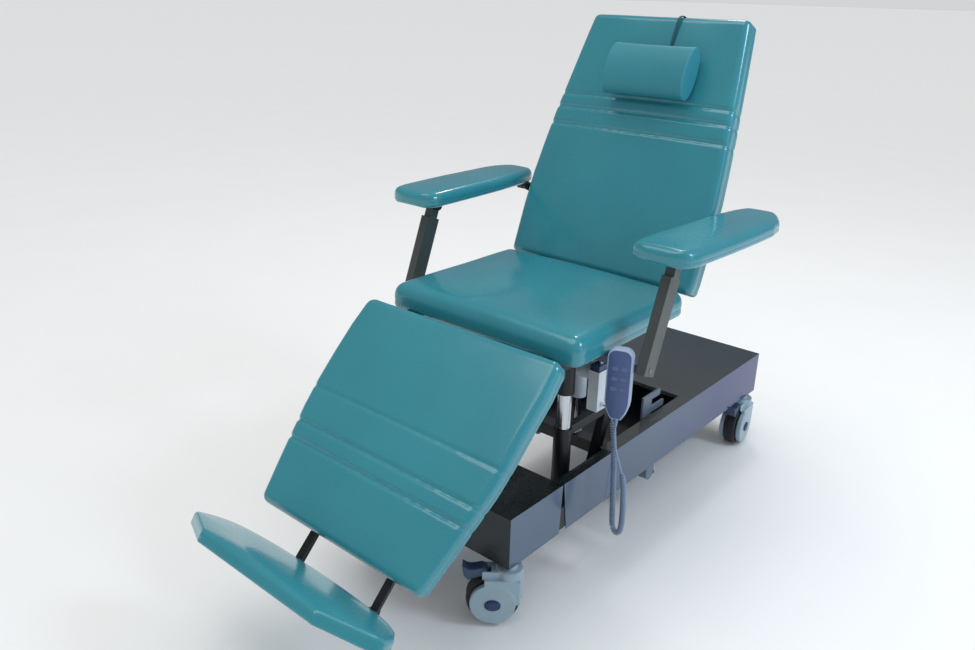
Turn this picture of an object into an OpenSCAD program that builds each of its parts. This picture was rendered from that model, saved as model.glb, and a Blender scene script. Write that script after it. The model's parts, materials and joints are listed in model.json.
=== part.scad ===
/* [Base] */
// Width over the sheet-metal base
base_w = 446; // [430:2:470]
// Height of the base sheets
base_h = 133; // [128:1:145]
// Length of the closed box at the front
box_l = 197; // [180:1:205]
// Length of the side panels between box and rear cover
side_l = 208; // [200:1:212]
// Length of the rear cover
cover_l = 878; // [850:1:900]
// Thickness of the base sheets
sheet_t = 2; // [1.5:0.1:2.5]
// Depth of the cut-out in the rear cover
cutout_l = 410; // [380:5:440]
// Diameter of the lift columns
column_d = 45; // [40:1:50]

/* [Casters] */
// Diameter of the wheels
wheel_d = 125; // [120:1:130]
// Width of the wheels
wheel_w = 34; // [30:1:36]
// Trail of a wheel behind its stem
caster_trail = 38; // [34:1:40]

/* [Seat] */
// Width of the seat cushion
seat_w = 572; // [550:2:576]
// Length of the seat cushion
seat_l = 472; // [460:1:476]
// Thickness of the seat cushion at its edge
seat_t = 50; // [44:1:52]
// Height of the seat frame's pivots above the floor
pivot_z = 602; // [592:1:612]

/* [Backrest] */
// Length of the back cushion
back_l = 711; // [670:1:725]
// Width of the back cushion at its lower end
back_w = 578; // [560:2:580]
// Thickness of the back cushion at its edge
back_t = 56; // [48:1:58]
// Lean of the backrest from upright
back_lean = 23.9; // [20:0.1:28]

/* [Leg rest] */
// Length of the leg cushion
leg_l = 541; // [505:1:550]
// Width of the leg cushion at its top
leg_w = 600; // [576:2:606]
// Thickness of the leg cushion
leg_t = 42; // [36:1:46]
// Slope of the leg rest
leg_slope = 45; // [42:1:48]

/* [Footrest] */
// Width of the foot plate
foot_w = 606; // [560:2:620]
// Depth of the foot plate
foot_d = 171; // [160:1:180]

/* [Armrests] */
// Length of an arm pad
pad_l = 496; // [470:1:505]
// Width of an arm pad
pad_w = 166; // [150:1:170]
// Thickness of an arm pad's cushion
pad_t = 30; // [26:1:34]
// Length of an arm post between its pivots
post_l = 245.5; // [235:0.5:255]

/* [Handset] */
// Width of the handset
hand_w = 57; // [54:1:60]
// Length of the handset
hand_l = 170; // [160:1:176]
// Thickness of the handset
hand_t = 25; // [22:1:27]
// Diameter of the handset's cable
cable_d = 4.6; // [4:0.1:5]

/* [Hidden] */
round_n = 36;
over = 1;
gap = 0.3;
fit = 0.06;

// Base places
base_front_y = -387;
base_half = base_w / 2;
plate_t = 8;
stem_space = 27;
base_z = wheel_d + stem_space;
base_top = base_z + base_h;
box_rear_y = base_front_y + box_l;
box_seam = 4;
side_seam = 1;
side_front_y = box_rear_y + box_seam;
side_rear_y = side_front_y + side_l;
cover_front_y = side_rear_y + side_seam;
cover_rear_y = cover_front_y + cover_l;
box_slant = 6;
side_slant = 19;
cover_slant = 22;
strip_w = 38;
flange_w = 25;

// Base frame
rail_w = 40;
rail_h = 60;
rail_wall = 3;
rail_x1 = base_half - sheet_t;
rail_x0 = rail_x1 - rail_w;
rail_z0 = base_z + plate_t;
rail_z1 = rail_z0 + rail_h;
cross_w = 40;
cross_h = 35;
cross_front_y = -330;
column_y = -100;
lift_y = 150;
cross_rear_y = 780;
plate_l = 96;
plate_front = 18;

// Lift
column_gap = 31;
column_x = rail_x0 - column_gap;
column_top = 378;
column_wall = 4;
column_rod_d = column_d - 2 * column_wall - 2 * fit;
column_rod_z = 305;
sleeve_z = 472;
lift_cross_up = 18;
lift_x = 25;
lift_motor_l = 60;
lift_rod_d = 20;
lift_rod_top = 440;
lift_tube_d = 42;
lift_tube_z = 335;
lift_head_w = 60;
lift_head_h = 70;
tie_t = 20;
tie_h = 24;
strut_w = 32;
strut_y0 = 23;
strut_y1 = 76;

// Power unit
power_w = 180;
power_l = 130;
power_h = 70;

// Forked bracket
guide_t = 6;
guide_w = 18;
guide_y0 = 236;
guide_y1 = 282;
guide_y2 = 326;
guide_y3 = 350;
guide_low = 286;
guide_top = 345;

// Earth posts
earth_y = 262;
earth_w = 26;
earth_l = 40;
earth_z = 92;
knob_d = 22;
knob_l = 20;
knob_z = 102;

// Casters
axle_d = 12;
stem_d = 12;
collar_d = 30;
collar_h = 6;
stem_l = 34;
wheel_gap = 3;
cover_d = 106;
cover_t = 15;
hub_d = 40;
tower_d = 62;
tower_z = 120;
tread_edge = 6;
cap_w = 30;
cap_h = 22;
cap_t = 2.5;
cheek_t = 6;
pedal_pin_x = 58;
pedal_pin_z = 136;
pedal_pin_d = 6;
pedal_w = 30;
stem_inset = 11;
stem_x = rail_x1 - stem_inset;
stem_front_y = -366;
stem_rear_y = 842;
angle_front_left = 218.8;
angle_front_right = 300;
angle_rear_left = 276;
angle_rear_right = 262;

// Seat frame
seat_rail_w = 25;
seat_rail_h = 36;
seat_rail_x = 203;
seat_rail_front = -278;
seat_y0 = -262;
back_pivot_gap = 63;
back_pivot_y = seat_y0 + seat_l + back_pivot_gap;
rail_end_gap = 11;
seat_rail_rear = back_pivot_y - rail_end_gap;
seat_cross_front = -236;
seat_cross_rear = 110;
seat_cross_w = 25;
seat_pin_d = 16;
eye_d = 34;
eye_w = 24;
eye_gap = 1;
seat_sink = 10;
seat_top = pivot_z + seat_rail_h - seat_sink;
seat_board_t = 8;
seat_board_inset = 14;
leg_pivot_y = -290;

// Control box
control_w = 30;
control_l = 56;
control_h = 105;
control_x = 186;
control_y = -58;
control_drop = 72;
control_z = pivot_z - control_drop - control_h;
control_cap = 14;
gland_d = 12;
gland_l = 6;
gland_y = -40;
gland_up = 16;
gland_z = control_z + gland_up;

// Back frame
back_rail_t = 25;
back_board_t = 10;
back_low = 44;
back_rail_top = 620;
torque_d = 24;
lever_l = 90;
lever_w = 22;
lever_t = 8;
lever_x = -71;
carrier_t = 10;
carrier_h = 24;
carrier_x = 352;
ear_t = 8;
arm_pin_d = 12;
arm_slack = 0.5;
top_cross_z = 560;

// Pillow
pillow_w = 240;
pillow_h = 138;
pillow_t = 72;
pillow_x = 16;
pillow_z = 516;
strap_x = 35;
strap_w = 8;
strap_t = 2;
strap_l = 110;

// Leg frame
leg_rail_t = 20;
leg_rail_l = 470;
leg_board_t = 10;
leg_low = -22;
leg_cross_a = 110;
leg_cross_b = 330;
leg_cross_c = 455;
leg_cross_w = 30;
leg_drop = -6;
sleeve_t = 4;
leg_lug_s = 120;
leg_lug_z = 60;
lug_t = 8;
lug_x = 78;

// Footrest
foot_bar_x = 124;
foot_bar_w = 20;
foot_bar_t = 8;
foot_bar_s0 = 322;
foot_bar_s1 = 584;
foot_tilt = 11.7;
foot_s = 583;
foot_z = 64;
foot_pad_t = 11;
foot_crown = 9;
foot_board_t = 8;
foot_reach = 120;

// Armrests
post_w = 45;
post_t = 24;
post_x = 365;
post_foot_y = -109;
post_lean = 20.5;
post_eye_d = 26;
post_wall = 3;
arm_board_t = 6;
arm_drop = 14;
neck_l = 34;
pad_x = 292;
pad_y = -116;
arm_lug_w = 24;
arm_lug_t = 8;
bracket_h = 20;
bracket_w = 22;

// Leg and back drives
drive_x = 90;
drive_rod_d = 18;
rod_eye_w = 20;
drive_tube_d = 40;
drive_head = 56;
drive_motor_d = 44;
drive_motor_l = 66;
drive_pin_d = 10;
drive_eye_d = 26;
drive_eye_w = 14;
leg_drive_y = 40;
leg_drive_drop = 90;
leg_drive_z = pivot_z - leg_drive_drop;
leg_lug_y = leg_pivot_y - leg_lug_s * cos(leg_slope) + leg_lug_z * sin(leg_slope);
leg_lug_h = pivot_z - leg_lug_s * sin(leg_slope) - leg_lug_z * cos(leg_slope);
leg_drive_l = norm([leg_drive_y - leg_lug_y, leg_drive_z - leg_lug_h]);
leg_drive_a = atan2(leg_drive_z - leg_lug_h, leg_drive_y - leg_lug_y);
leg_tube_l = 250;
back_drive_y = -150;
back_drive_drop = 57;
back_drive_z = pivot_z - back_drive_drop;
back_lug_y = back_pivot_y - lever_l * sin(back_lean);
back_lug_h = pivot_z - lever_l * cos(back_lean);
back_drive_l = norm([back_lug_y - back_drive_y, back_lug_h - back_drive_z]);
back_drive_a = atan2(back_drive_z - back_lug_h, back_lug_y - back_drive_y);
back_tube_l = 250;
hanger_w = 40;
hanger_t = 8;

// Handset
hand_x = 324;
hand_y = -147;
hand_drop = 118;
hand_z = pivot_z - hand_drop;
hand_turn = 20;
hand_r = 20;
hand_rim = 3;
key_w = 15;
key_h = 11;
key_t = 4;
key_proud = 1.4;
key_clear = 0.3;
key_dx = 20;
key_dz = 24;
key_z = 76;
hook_w = 14;
hook_t = 4;
boot_d = 9;
boot_l = 10;

// Route of the handset's cable, from the handset down and back up to the control box
route = [[324, -147, 474], [324, -147, 440], [326, -140, 400], [329, -125, 360], [331, -109, 320],
    [330, -96, 280], [328, -87, 230], [325, -80, 180], [320, -76, 148], [310, -73, 134],
    [299, -70, 136], [292, -68, 150], [288, -66, 190], [284, -64, 240], [278, -60, 300],
    [270, -54, 350], [259, -47, 395], [247, -42, 422], [236, -40, 436], [226, -40, 441],
    [222, -40, 441]];
curl_od = 15;
curl_from = 150;
curl_to = 40;
curls = 44;
curl_n = 6;

// Cushion rows: place along the length, width and height, each a share of the full size
seat_shares = [[0, 0.93, 0.55], [0.012, 0.96, 0.78], [0.035, 0.985, 0.94], [0.08, 0.997, 1.03],
    [0.17, 1, 1.06], [0.3, 1, 1.02], [0.45, 1, 0.98], [0.6, 1, 0.97], [0.75, 1, 0.99],
    [0.87, 1, 1], [0.95, 0.995, 0.98], [0.985, 0.985, 0.9], [1, 0.95, 0.7]];
back_shares = [[0, 0.95, 0.7], [0.015, 0.985, 0.9], [0.05, 1, 1], [0.15, 1, 1.03],
    [0.34, 1, 1.04], [0.45, 0.985, 1.02], [0.527, 0.965, 0.98], [0.542, 0.962, 0.9],
    [0.557, 0.96, 0.99], [0.6, 0.945, 0.98], [0.613, 0.942, 0.88], [0.626, 0.94, 0.99],
    [0.654, 0.93, 0.99], [0.666, 0.926, 0.92], [0.679, 0.922, 1], [0.8, 0.885, 1],
    [0.92, 0.85, 0.99], [0.97, 0.825, 0.95], [0.99, 0.79, 0.85], [1, 0.76, 0.6]];
leg_shares = [[0, 0.89, 0.55], [0.015, 0.945, 0.85], [0.05, 0.985, 1], [0.15, 1, 1.04],
    [0.3, 1, 1.04], [0.457, 1, 1], [0.472, 0.998, 0.86], [0.487, 0.996, 1],
    [0.575, 0.985, 1.02], [0.619, 0.975, 1], [0.634, 0.968, 0.84], [0.649, 0.963, 1],
    [0.7, 0.95, 1], [0.714, 0.945, 0.84], [0.729, 0.942, 1], [0.83, 0.907, 1],
    [0.94, 0.87, 0.97], [0.985, 0.82, 0.85], [1, 0.76, 0.55]];
foot_shares = [[0, 0.36, 0.3], [0.03, 0.55, 0.55], [0.1, 0.75, 0.8], [0.22, 0.89, 0.95],
    [0.36, 0.95, 1], [0.5, 0.985, 1], [0.61, 1, 1], [0.64, 0.995, 1], [0.67, 0.97, 0.98],
    [0.82, 0.81, 0.9], [0.95, 0.675, 0.65], [1, 0.62, 0.3]];
pillow_shares = [[0, 0.94, 0.93], [0.012, 0.985, 0.98], [0.035, 1, 1], [0.25, 0.995, 0.99],
    [0.5, 0.99, 0.985], [0.75, 0.995, 0.99], [0.965, 1, 1], [0.988, 0.985, 0.98], [1, 0.94, 0.93]];
// Arm pad rows: place along the length, inner edge, outer edge, height
pad_shares = [[0, 0.2, 0.74, 0.5], [0.012, 0.1, 0.83, 0.8], [0.04, 0.03, 0.9, 0.97],
    [0.09, 0, 0.93, 1.03], [0.2, 0.01, 0.95, 1.05], [0.4, 0.04, 0.98, 1.05],
    [0.62, 0.08, 1, 1.03], [0.78, 0.13, 1, 1], [0.88, 0.17, 0.95, 0.99],
    [0.95, 0.22, 0.85, 0.93], [0.985, 0.28, 0.75, 0.75], [1, 0.36, 0.66, 0.5]];
square_share = 0.3;
soft_share = 0.55;
round_share = 0.9;
belly_share = 0.4;

function power_of(v, e) = sign(v) * pow(abs(v), e);

// One closed ring across a cushion: flat below, rounded edges, a crown on top
function cushion_ring(y, x0, x1, z0, z1, crown, n, e) = [for (i = [0:n - 1])
    let (a = 360 * i / n, c = power_of(cos(a), e), s = power_of(sin(a), e),
        zm = z0 + (z1 - z0) * belly_share)
    [(x0 + x1) / 2 + (x1 - x0) / 2 * c, y,
        s < 0 ? zm + (zm - z0) * s : zm + (z1 - zm + crown * (1 - c * c)) * s]];

function loft_faces(m, n) = concat(
    [for (j = [0:m - 2], i = [0:n - 1]) [j * n + i, j * n + (i + 1) % n, (j + 1) * n + (i + 1) % n]],
    [for (j = [0:m - 2], i = [0:n - 1]) [j * n + i, (j + 1) * n + (i + 1) % n, (j + 1) * n + i]],
    [for (i = [1:n - 2]) [0, i + 1, i]],
    [for (i = [1:n - 2]) [(m - 1) * n, (m - 1) * n + i, (m - 1) * n + i + 1]]);

module loft(rings) {
    polyhedron(points = [for (r = rings) for (p = r) p], faces = loft_faces(len(rings), len(rings[0])));
}

// A cushion lying flat along +Y from y = 0, its underside at z = 0
module cushion(w, l, t, crown, shares, n, e) {
    loft([for (r = shares) cushion_ring(l * r[0], -w / 2 * r[1], w / 2 * r[1], 0, t * r[2],
        crown * r[2], n, e)]);
}

module box(x0, x1, y0, y1, z0, z1) {
    translate([x0, y0, z0]) cube([x1 - x0, y1 - y0, z1 - z0]);
}

module rod_x(x0, x1, y, z, d) {
    translate([x0, y, z]) rotate([0, 90, 0]) cylinder(d = d, h = x1 - x0, $fn = round_n);
}

module rod_y(y0, y1, x, z, d) {
    translate([x, y0, z]) rotate([-90, 0, 0]) cylinder(d = d, h = y1 - y0, $fn = round_n);
}

module rod_z(z0, z1, x, y, d) {
    translate([x, y, z0]) cylinder(d = d, h = z1 - z0, $fn = round_n);
}

// A plate lying across X, its outline given as [y, z] points
module plate_x(x0, x1, outline) {
    translate([x0, 0, 0]) rotate([90, 0, 90]) linear_extrude(height = x1 - x0) polygon(outline);
}

module both_sides() {
    children();
    mirror([1, 0, 0]) children();
}

module back_place() {
    translate([0, back_pivot_y, pivot_z]) rotate([-back_lean, 0, 0]) children();
}

module leg_place() {
    translate([0, leg_pivot_y, pivot_z]) rotate([leg_slope, 0, 0]) children();
}

module foot_place() {
    leg_place() translate([0, -foot_s, foot_z]) rotate([foot_tilt, 0, 0]) children();
}

// Base

module front_box() {
    color("#5d6b7c") difference() {
        plate_x(-base_half, base_half, [[base_front_y, base_z], [base_front_y, base_top],
            [box_rear_y, base_top], [box_rear_y - box_slant, base_z]]);
        box(-base_half + sheet_t, base_half - sheet_t, base_front_y + sheet_t, box_rear_y + over,
            base_z - over, base_top - sheet_t);
    }
}

module side_panels() {
    color("#5d6b7c") both_sides() {
        plate_x(base_half - sheet_t, base_half, [[side_front_y, base_top],
            [side_rear_y, base_top], [side_rear_y - cover_slant, base_z],
            [side_front_y + side_slant, base_z]]);
        box(base_half - sheet_t - flange_w, base_half - sheet_t / 2, side_front_y,
            side_rear_y, base_top - sheet_t, base_top);
    }
}

module rear_cover() {
    color("#5d6b7c") difference() {
        plate_x(-base_half, base_half, [[cover_front_y - cover_slant, base_z],
            [cover_front_y, base_top], [cover_rear_y, base_top], [cover_rear_y, base_z]]);
        box(-base_half + sheet_t, base_half - sheet_t, cover_front_y - cover_slant - over,
            cover_rear_y - sheet_t, base_z - over, base_top - sheet_t);
        box(-base_half + strip_w, base_half - strip_w, cover_front_y - cover_slant - over,
            cover_front_y + cutout_l, base_z, base_top + over);
    }
}

module base_rails() {
    color("#1c1e22") both_sides() difference() {
        box(rail_x0, rail_x1, base_front_y + sheet_t, cover_rear_y - sheet_t, rail_z0, rail_z1);
        box(rail_x0 + rail_wall, rail_x1 - rail_wall, base_front_y + sheet_t - over,
            cover_rear_y - sheet_t + over, rail_z0 + rail_wall, rail_z1 - rail_wall);
        for (y = [stem_front_y, stem_rear_y])
            rod_z(rail_z0 - over, rail_z0 + rail_wall + over, stem_x, y, stem_d + 2 * fit);
    }
}

module cross_members() {
    color("#1c1e22") {
        for (y = [cross_front_y, column_y, cross_rear_y])
            box(-rail_x0, rail_x0, y - cross_w / 2, y + cross_w / 2, rail_z0 + plate_t,
                rail_z0 + plate_t + cross_h);
        box(-rail_x0, rail_x0, lift_y - cross_w / 2, lift_y + cross_w / 2, rail_z0 + plate_t + lift_cross_up,
            rail_z0 + plate_t + lift_cross_up + cross_h);
        both_sides() for (y = [stem_front_y, stem_rear_y]) difference() {
            box(rail_x1 - plate_l / 2, rail_x1, y - plate_front, y + plate_l / 2, base_z, rail_z0);
            rod_z(base_z - over, rail_z0 + over, stem_x, y, stem_d + 2 * fit);
        }
        // Forked bracket standing in the cut-out
        plate_x(rail_x0 - guide_t, rail_x0, [[guide_y0, rail_z0 + plate_t], [guide_y1, rail_z0 + plate_t],
            [guide_y1, guide_low], [guide_y3, guide_low], [guide_y3, guide_low + guide_w],
            [guide_y1, guide_low + guide_w], [guide_y1, guide_top - guide_w],
            [guide_y2, guide_top - guide_w], [guide_y2, guide_top], [guide_y0, guide_top]]);
    }
}

module lift_columns() {
    z0 = rail_z0 + plate_t + cross_h;
    tie_y0 = column_y + column_d / 2 - sheet_t;
    tie_z = column_top - sheet_t - tie_h;
    color("#17181b") both_sides() difference() {
        union() {
            rod_z(z0, column_top, column_x, column_y, column_d);
            // Side frame: a sill, a leaning strut and a tie back to the column
            box(column_x - tie_t / 2, column_x + tie_t / 2, column_y + cross_w / 2, lift_y - cross_w / 2,
                z0 - cross_h, z0);
            box(column_x - tie_t / 2, column_x + tie_t / 2, tie_y0, strut_y1 + strut_w, tie_z, tie_z + tie_h);
            plate_x(column_x - tie_t / 2, column_x + tie_t / 2, [[strut_y0, z0 - over],
                [strut_y0 + strut_w, z0 - over], [strut_y1 + strut_w, tie_z + over],
                [strut_y1, tie_z + over]]);
        }
        rod_z(z0 + plate_t, column_top + over, column_x, column_y, column_rod_d + 2 * fit);
    }
}

module lift_rod() {
    z0 = rail_z0 + plate_t + cross_h + lift_cross_up;
    color("#c9ccd0") {
        rod_z(z0, lift_rod_top, lift_x, lift_y, lift_rod_d);
        rod_z(z0, z0 + plate_t, lift_x, lift_y, lift_rod_d + 2 * plate_t - 2 * sheet_t);
    }
}

module power_unit() {
    z0 = rail_z0 + plate_t;
    color("#c8ccd2") box(-power_w / 2, power_w / 2, cross_rear_y - cross_w / 2 - power_l,
        cross_rear_y - cross_w / 2, z0, z0 + power_h);
}

module under_tray() {
    color("#26292e") box(-rail_x0, rail_x0, lift_y + cross_w / 2 + gap, cross_rear_y + cross_w / 2,
        rail_z0 + plate_t - sheet_t, rail_z0 + plate_t);
}

module earth_posts() {
    color("#6d7681") both_sides() {
        box(rail_x0, rail_x0 + earth_w, earth_y - earth_l / 2, earth_y + earth_l / 2,
            earth_z + earth_l / 2, rail_z0);
        rod_x(rail_x0, rail_x0 + earth_w, earth_y, earth_z + earth_l / 2, earth_l);
        rod_y(earth_y, earth_y + knob_l + knob_l / 2, rail_x0 + earth_w / 2, knob_z, knob_d);
    }
}

// Casters

module caster_place(x, y, trail) {
    translate([x, y, 0]) rotate([0, 0, trail]) children();
}

module caster_shell() {
    zc = wheel_d / 2;
    inner = wheel_w / 2 + 1.5 * sheet_t;
    outer = inner + cover_t;
    difference() {
        union() {
            rod_y(-outer, outer, caster_trail, zc, cover_d);
            rod_z(zc, base_z - collar_h, 0, 0, tower_d);
            box(-tower_d / 2 + tread_edge, caster_trail + hub_d / 2, -outer + sheet_t, outer - sheet_t, zc,
                tower_z + tread_edge);
            box(0, pedal_pin_x + tread_edge, -pedal_w / 2 - cheek_t - gap, pedal_w / 2 + cheek_t + gap,
                tower_z, pedal_pin_z + tread_edge);
        }
        rod_y(-inner, inner, caster_trail, zc, wheel_d + 2 * wheel_gap);
        box(caster_trail + tread_edge, pedal_pin_x + 2 * tread_edge, -pedal_w / 2 - gap, pedal_w / 2 + gap,
            zc, base_z);
    }
    rod_y(-outer, outer, caster_trail, zc, axle_d);
    rod_y(-pedal_w / 2 - cheek_t, pedal_w / 2 + cheek_t, pedal_pin_x, pedal_pin_z, pedal_pin_d);
    rod_z(base_z - collar_h - over, base_z - gap, 0, 0, collar_d);
    rod_z(base_z - collar_h - over, base_z - collar_h + stem_l, 0, 0, stem_d);
    for (s = [-1, 1]) translate([caster_trail, s * outer, zc]) rotate([90, 0, 0])
        scale([cap_w / cap_h, 1, 1]) cylinder(d = cap_h, h = 2 * cap_t, center = true, $fn = round_n);
}

module caster_wheel() {
    translate([caster_trail, 0, wheel_d / 2]) rotate([90, 0, 0]) rotate_extrude($fn = 48)
        polygon([[axle_d / 2 + fit, -wheel_w / 2 + gap], [hub_d / 2, -wheel_w / 2 + gap],
            [hub_d / 2, -wheel_w / 3], [wheel_d / 2 - 2 * tread_edge, -wheel_w / 3],
            [wheel_d / 2 - 2 * tread_edge, -wheel_w / 2], [wheel_d / 2 - tread_edge, -wheel_w / 2],
            [wheel_d / 2, -wheel_w / 2 + tread_edge], [wheel_d / 2, wheel_w / 2 - tread_edge],
            [wheel_d / 2 - tread_edge, wheel_w / 2], [wheel_d / 2 - 2 * tread_edge, wheel_w / 2],
            [wheel_d / 2 - 2 * tread_edge, wheel_w / 3], [hub_d / 2, wheel_w / 3],
            [hub_d / 2, wheel_w / 2 - gap], [axle_d / 2 + fit, wheel_w / 2 - gap]]);
}

module caster_pedal() {
    px = pedal_pin_x;
    pz = pedal_pin_z;
    d = pedal_pin_d;
    difference() {
        translate([0, pedal_w / 2, 0]) rotate([90, 0, 0]) linear_extrude(height = pedal_w)
            polygon([[px - d, pz - d], [px - d, pz + d], [px + d, pz + 2 * d], [px + 4 * d, pz + d],
                [px + 9 * d, pz + 2 * d - sheet_t], [px + 8 * d, pz - 2 * d], [px + 6 * d, pz - 4 * d],
                [px + 5 * d, pz - 3 * d]]);
        rod_y(-pedal_w, pedal_w, px, pz, d + 2 * fit);
    }
}

module shell_front_left() {
    color("#dfe3e6") caster_place(stem_x, stem_front_y, angle_front_left) caster_shell();
}
module wheel_front_left() {
    color("#222326") caster_place(stem_x, stem_front_y, angle_front_left) caster_wheel();
}
module pedal_front_left() {
    color("#2a3a5c") caster_place(stem_x, stem_front_y, angle_front_left) caster_pedal();
}
module shell_front_right() {
    color("#dfe3e6") caster_place(-stem_x, stem_front_y, angle_front_right) caster_shell();
}
module wheel_front_right() {
    color("#222326") caster_place(-stem_x, stem_front_y, angle_front_right) caster_wheel();
}
module pedal_front_right() {
    color("#2a3a5c") caster_place(-stem_x, stem_front_y, angle_front_right) caster_pedal();
}
module shell_rear_left() {
    color("#dfe3e6") caster_place(stem_x, stem_rear_y, angle_rear_left) caster_shell();
}
module wheel_rear_left() {
    color("#222326") caster_place(stem_x, stem_rear_y, angle_rear_left) caster_wheel();
}
module pedal_rear_left() {
    color("#2a3a5c") caster_place(stem_x, stem_rear_y, angle_rear_left) caster_pedal();
}
module shell_rear_right() {
    color("#dfe3e6") caster_place(-stem_x, stem_rear_y, angle_rear_right) caster_shell();
}
module wheel_rear_right() {
    color("#222326") caster_place(-stem_x, stem_rear_y, angle_rear_right) caster_wheel();
}
module pedal_rear_right() {
    color("#2a3a5c") caster_place(-stem_x, stem_rear_y, angle_rear_right) caster_pedal();
}

// Seat

seat_rail_z0 = seat_top - seat_rail_h;

module seat_rails() {
    color("#1c1e22") both_sides() {
        x1 = seat_rail_x + seat_rail_w;
        box(seat_rail_x, x1, seat_rail_front, seat_rail_rear, seat_rail_z0, seat_top);
        for (y = [leg_pivot_y, back_pivot_y]) {
            rod_x(seat_rail_x, x1, y, pivot_z, eye_d);
            rod_x(seat_rail_x - eye_w, seat_rail_x + over, y, pivot_z, seat_pin_d);
        }
    }
}

module seat_crosses() {
    color("#1c1e22") {
        for (y = [seat_cross_front, seat_cross_rear])
            box(-seat_rail_x, seat_rail_x, y, y + seat_cross_w, seat_rail_z0, seat_top);
        // Hangers of the leg and back drives
        difference() {
            union() {
                for (x = [drive_x - hanger_w / 2 - hanger_t, drive_x + hanger_w / 2])
                    plate_x(x, x + hanger_t, [[seat_cross_rear, seat_rail_z0 + over],
                        [seat_cross_rear + seat_cross_w, seat_rail_z0 + over],
                        [leg_drive_y + drive_pin_d, leg_drive_z - drive_pin_d],
                        [leg_drive_y - drive_pin_d, leg_drive_z - drive_pin_d],
                        [leg_drive_y - drive_pin_d, leg_drive_z + drive_pin_d]]);
                for (x = [-drive_x - hanger_w / 2 - hanger_t, -drive_x + hanger_w / 2])
                    plate_x(x, x + hanger_t, [[seat_cross_front, seat_rail_z0 + over],
                        [seat_cross_front + seat_cross_w, seat_rail_z0 + over],
                        [back_drive_y + drive_pin_d, back_drive_z + drive_pin_d],
                        [back_drive_y + drive_pin_d, back_drive_z - drive_pin_d],
                        [back_drive_y - drive_pin_d, back_drive_z - drive_pin_d]]);
            }
        }
        rod_x(drive_x - hanger_w / 2 - over, drive_x + hanger_w / 2 + over, leg_drive_y, leg_drive_z,
            drive_pin_d);
        rod_x(-drive_x - hanger_w / 2 - over, -drive_x + hanger_w / 2 + over, back_drive_y, back_drive_z,
            drive_pin_d);
    }
}

module column_rods() {
    color("#b9bdc2") both_sides() {
        rod_z(column_rod_z, seat_top - seat_board_t, column_x, column_y, column_rod_d);
        rod_z(sleeve_z, seat_top - seat_board_t, column_x, column_y, column_d);
        box(column_x, seat_rail_x, column_y - cross_w / 2, column_y + cross_w / 2,
            seat_rail_z0 + plate_t, seat_top - plate_t);
    }
}

module lift_motor() {
    color("#d5d9dc") difference() {
        union() {
            rod_z(lift_tube_z, seat_rail_z0 - lift_head_h, lift_x, lift_y, lift_tube_d);
            box(lift_x - lift_head_w / 2, lift_x + lift_head_w / 2, lift_y - lift_head_w / 2,
                lift_y + lift_head_w / 2, seat_rail_z0 - lift_head_h, seat_rail_z0);
            box(lift_x - lift_head_w / 2, lift_x + lift_head_w / 2, seat_cross_rear + seat_cross_w,
                lift_y + lift_head_w / 2, seat_rail_z0 - over, seat_top - plate_t);
            rod_x(lift_x - lift_head_w / 2 - lift_motor_l, lift_x - lift_head_w / 2 + over, lift_y,
                seat_rail_z0 - lift_head_h / 2, drive_motor_d);
        }
        rod_z(lift_tube_z - over, seat_rail_z0 - plate_t, lift_x, lift_y, lift_rod_d + 2 * fit);
    }
}

module seat_board() {
    color("#2b2d31") box(-seat_w / 2 + seat_board_inset, seat_w / 2 - seat_board_inset,
        seat_y0 + seat_board_inset, seat_y0 + seat_l - seat_board_inset, seat_top, seat_top + seat_board_t);
}

module seat_cushion() {
    color("#2f8c99") translate([0, seat_y0, seat_top + seat_board_t])
        cushion(seat_w, seat_l, seat_t, seat_crown, seat_shares, 20, square_share);
}
seat_crown = 10;

module control_box() {
    x1 = control_x + control_w;
    y1 = control_y + control_l;
    z1 = control_z + control_h;
    color("#dcdfe2") {
        box(control_x, x1, control_y, y1, control_z, z1);
        box(control_x + sheet_t, x1 - sheet_t, control_y + sheet_t, y1 - sheet_t, z1, z1 + control_cap);
        box(seat_rail_x, seat_rail_x + 2 * sheet_t, control_y + control_l / 3, y1 - control_l / 3,
            z1, seat_rail_z0);
        rod_x(x1, x1 + gland_l, gland_y, gland_z, gland_d);
    }
}

module arm_brackets() {
    x0 = seat_rail_x + seat_rail_w;
    x1 = post_x - post_t / 2 - eye_gap;
    color("#4a5058") {
        both_sides() {
            box(x0, x1, post_foot_y - bracket_w / 2, post_foot_y + bracket_w / 2,
                pivot_z - bracket_h / 2, pivot_z + bracket_h / 2);
            rod_x(x1 - over, post_x + post_t / 2 + eye_gap, post_foot_y, pivot_z, arm_pin_d);
        }
        // Hook plate that carries the handset
        box(hand_x - hook_w / 2, hand_x + hook_w / 2,
            hand_y + hand_t / 2 + 2 * hook_t, post_foot_y - bracket_w / 2,
            pivot_z - bracket_h / 2, pivot_z - bracket_h / 2 + hook_t);
        translate([hand_x, hand_y, 0]) rotate([0, 0, hand_turn]) {
            box(-hook_w / 2, hook_w / 2, hand_t / 2, hand_t / 2 + hook_t, pivot_z - 2 * bracket_h,
                pivot_z - bracket_h / 2 + hook_t);
            box(-hook_w / 2, hook_w / 2, hand_t / 2, hand_t / 2 + 3 * hook_t, pivot_z - bracket_h / 2,
                pivot_z - bracket_h / 2 + hook_t);
        }
    }
}

// Handset, standing on its own lower end at z = 0 and facing -Y

module hand_place() {
    translate([hand_x, hand_y, hand_z]) rotate([0, 0, hand_turn]) children();
}

module key_at(col, row, w, h, y0, y1) {
    x = (col - 0.5) * key_dx;
    z = key_z + row * key_dz;
    box(x - w / 2, x + w / 2, y0, y1, z - h / 2, z + h / 2);
}

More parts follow.
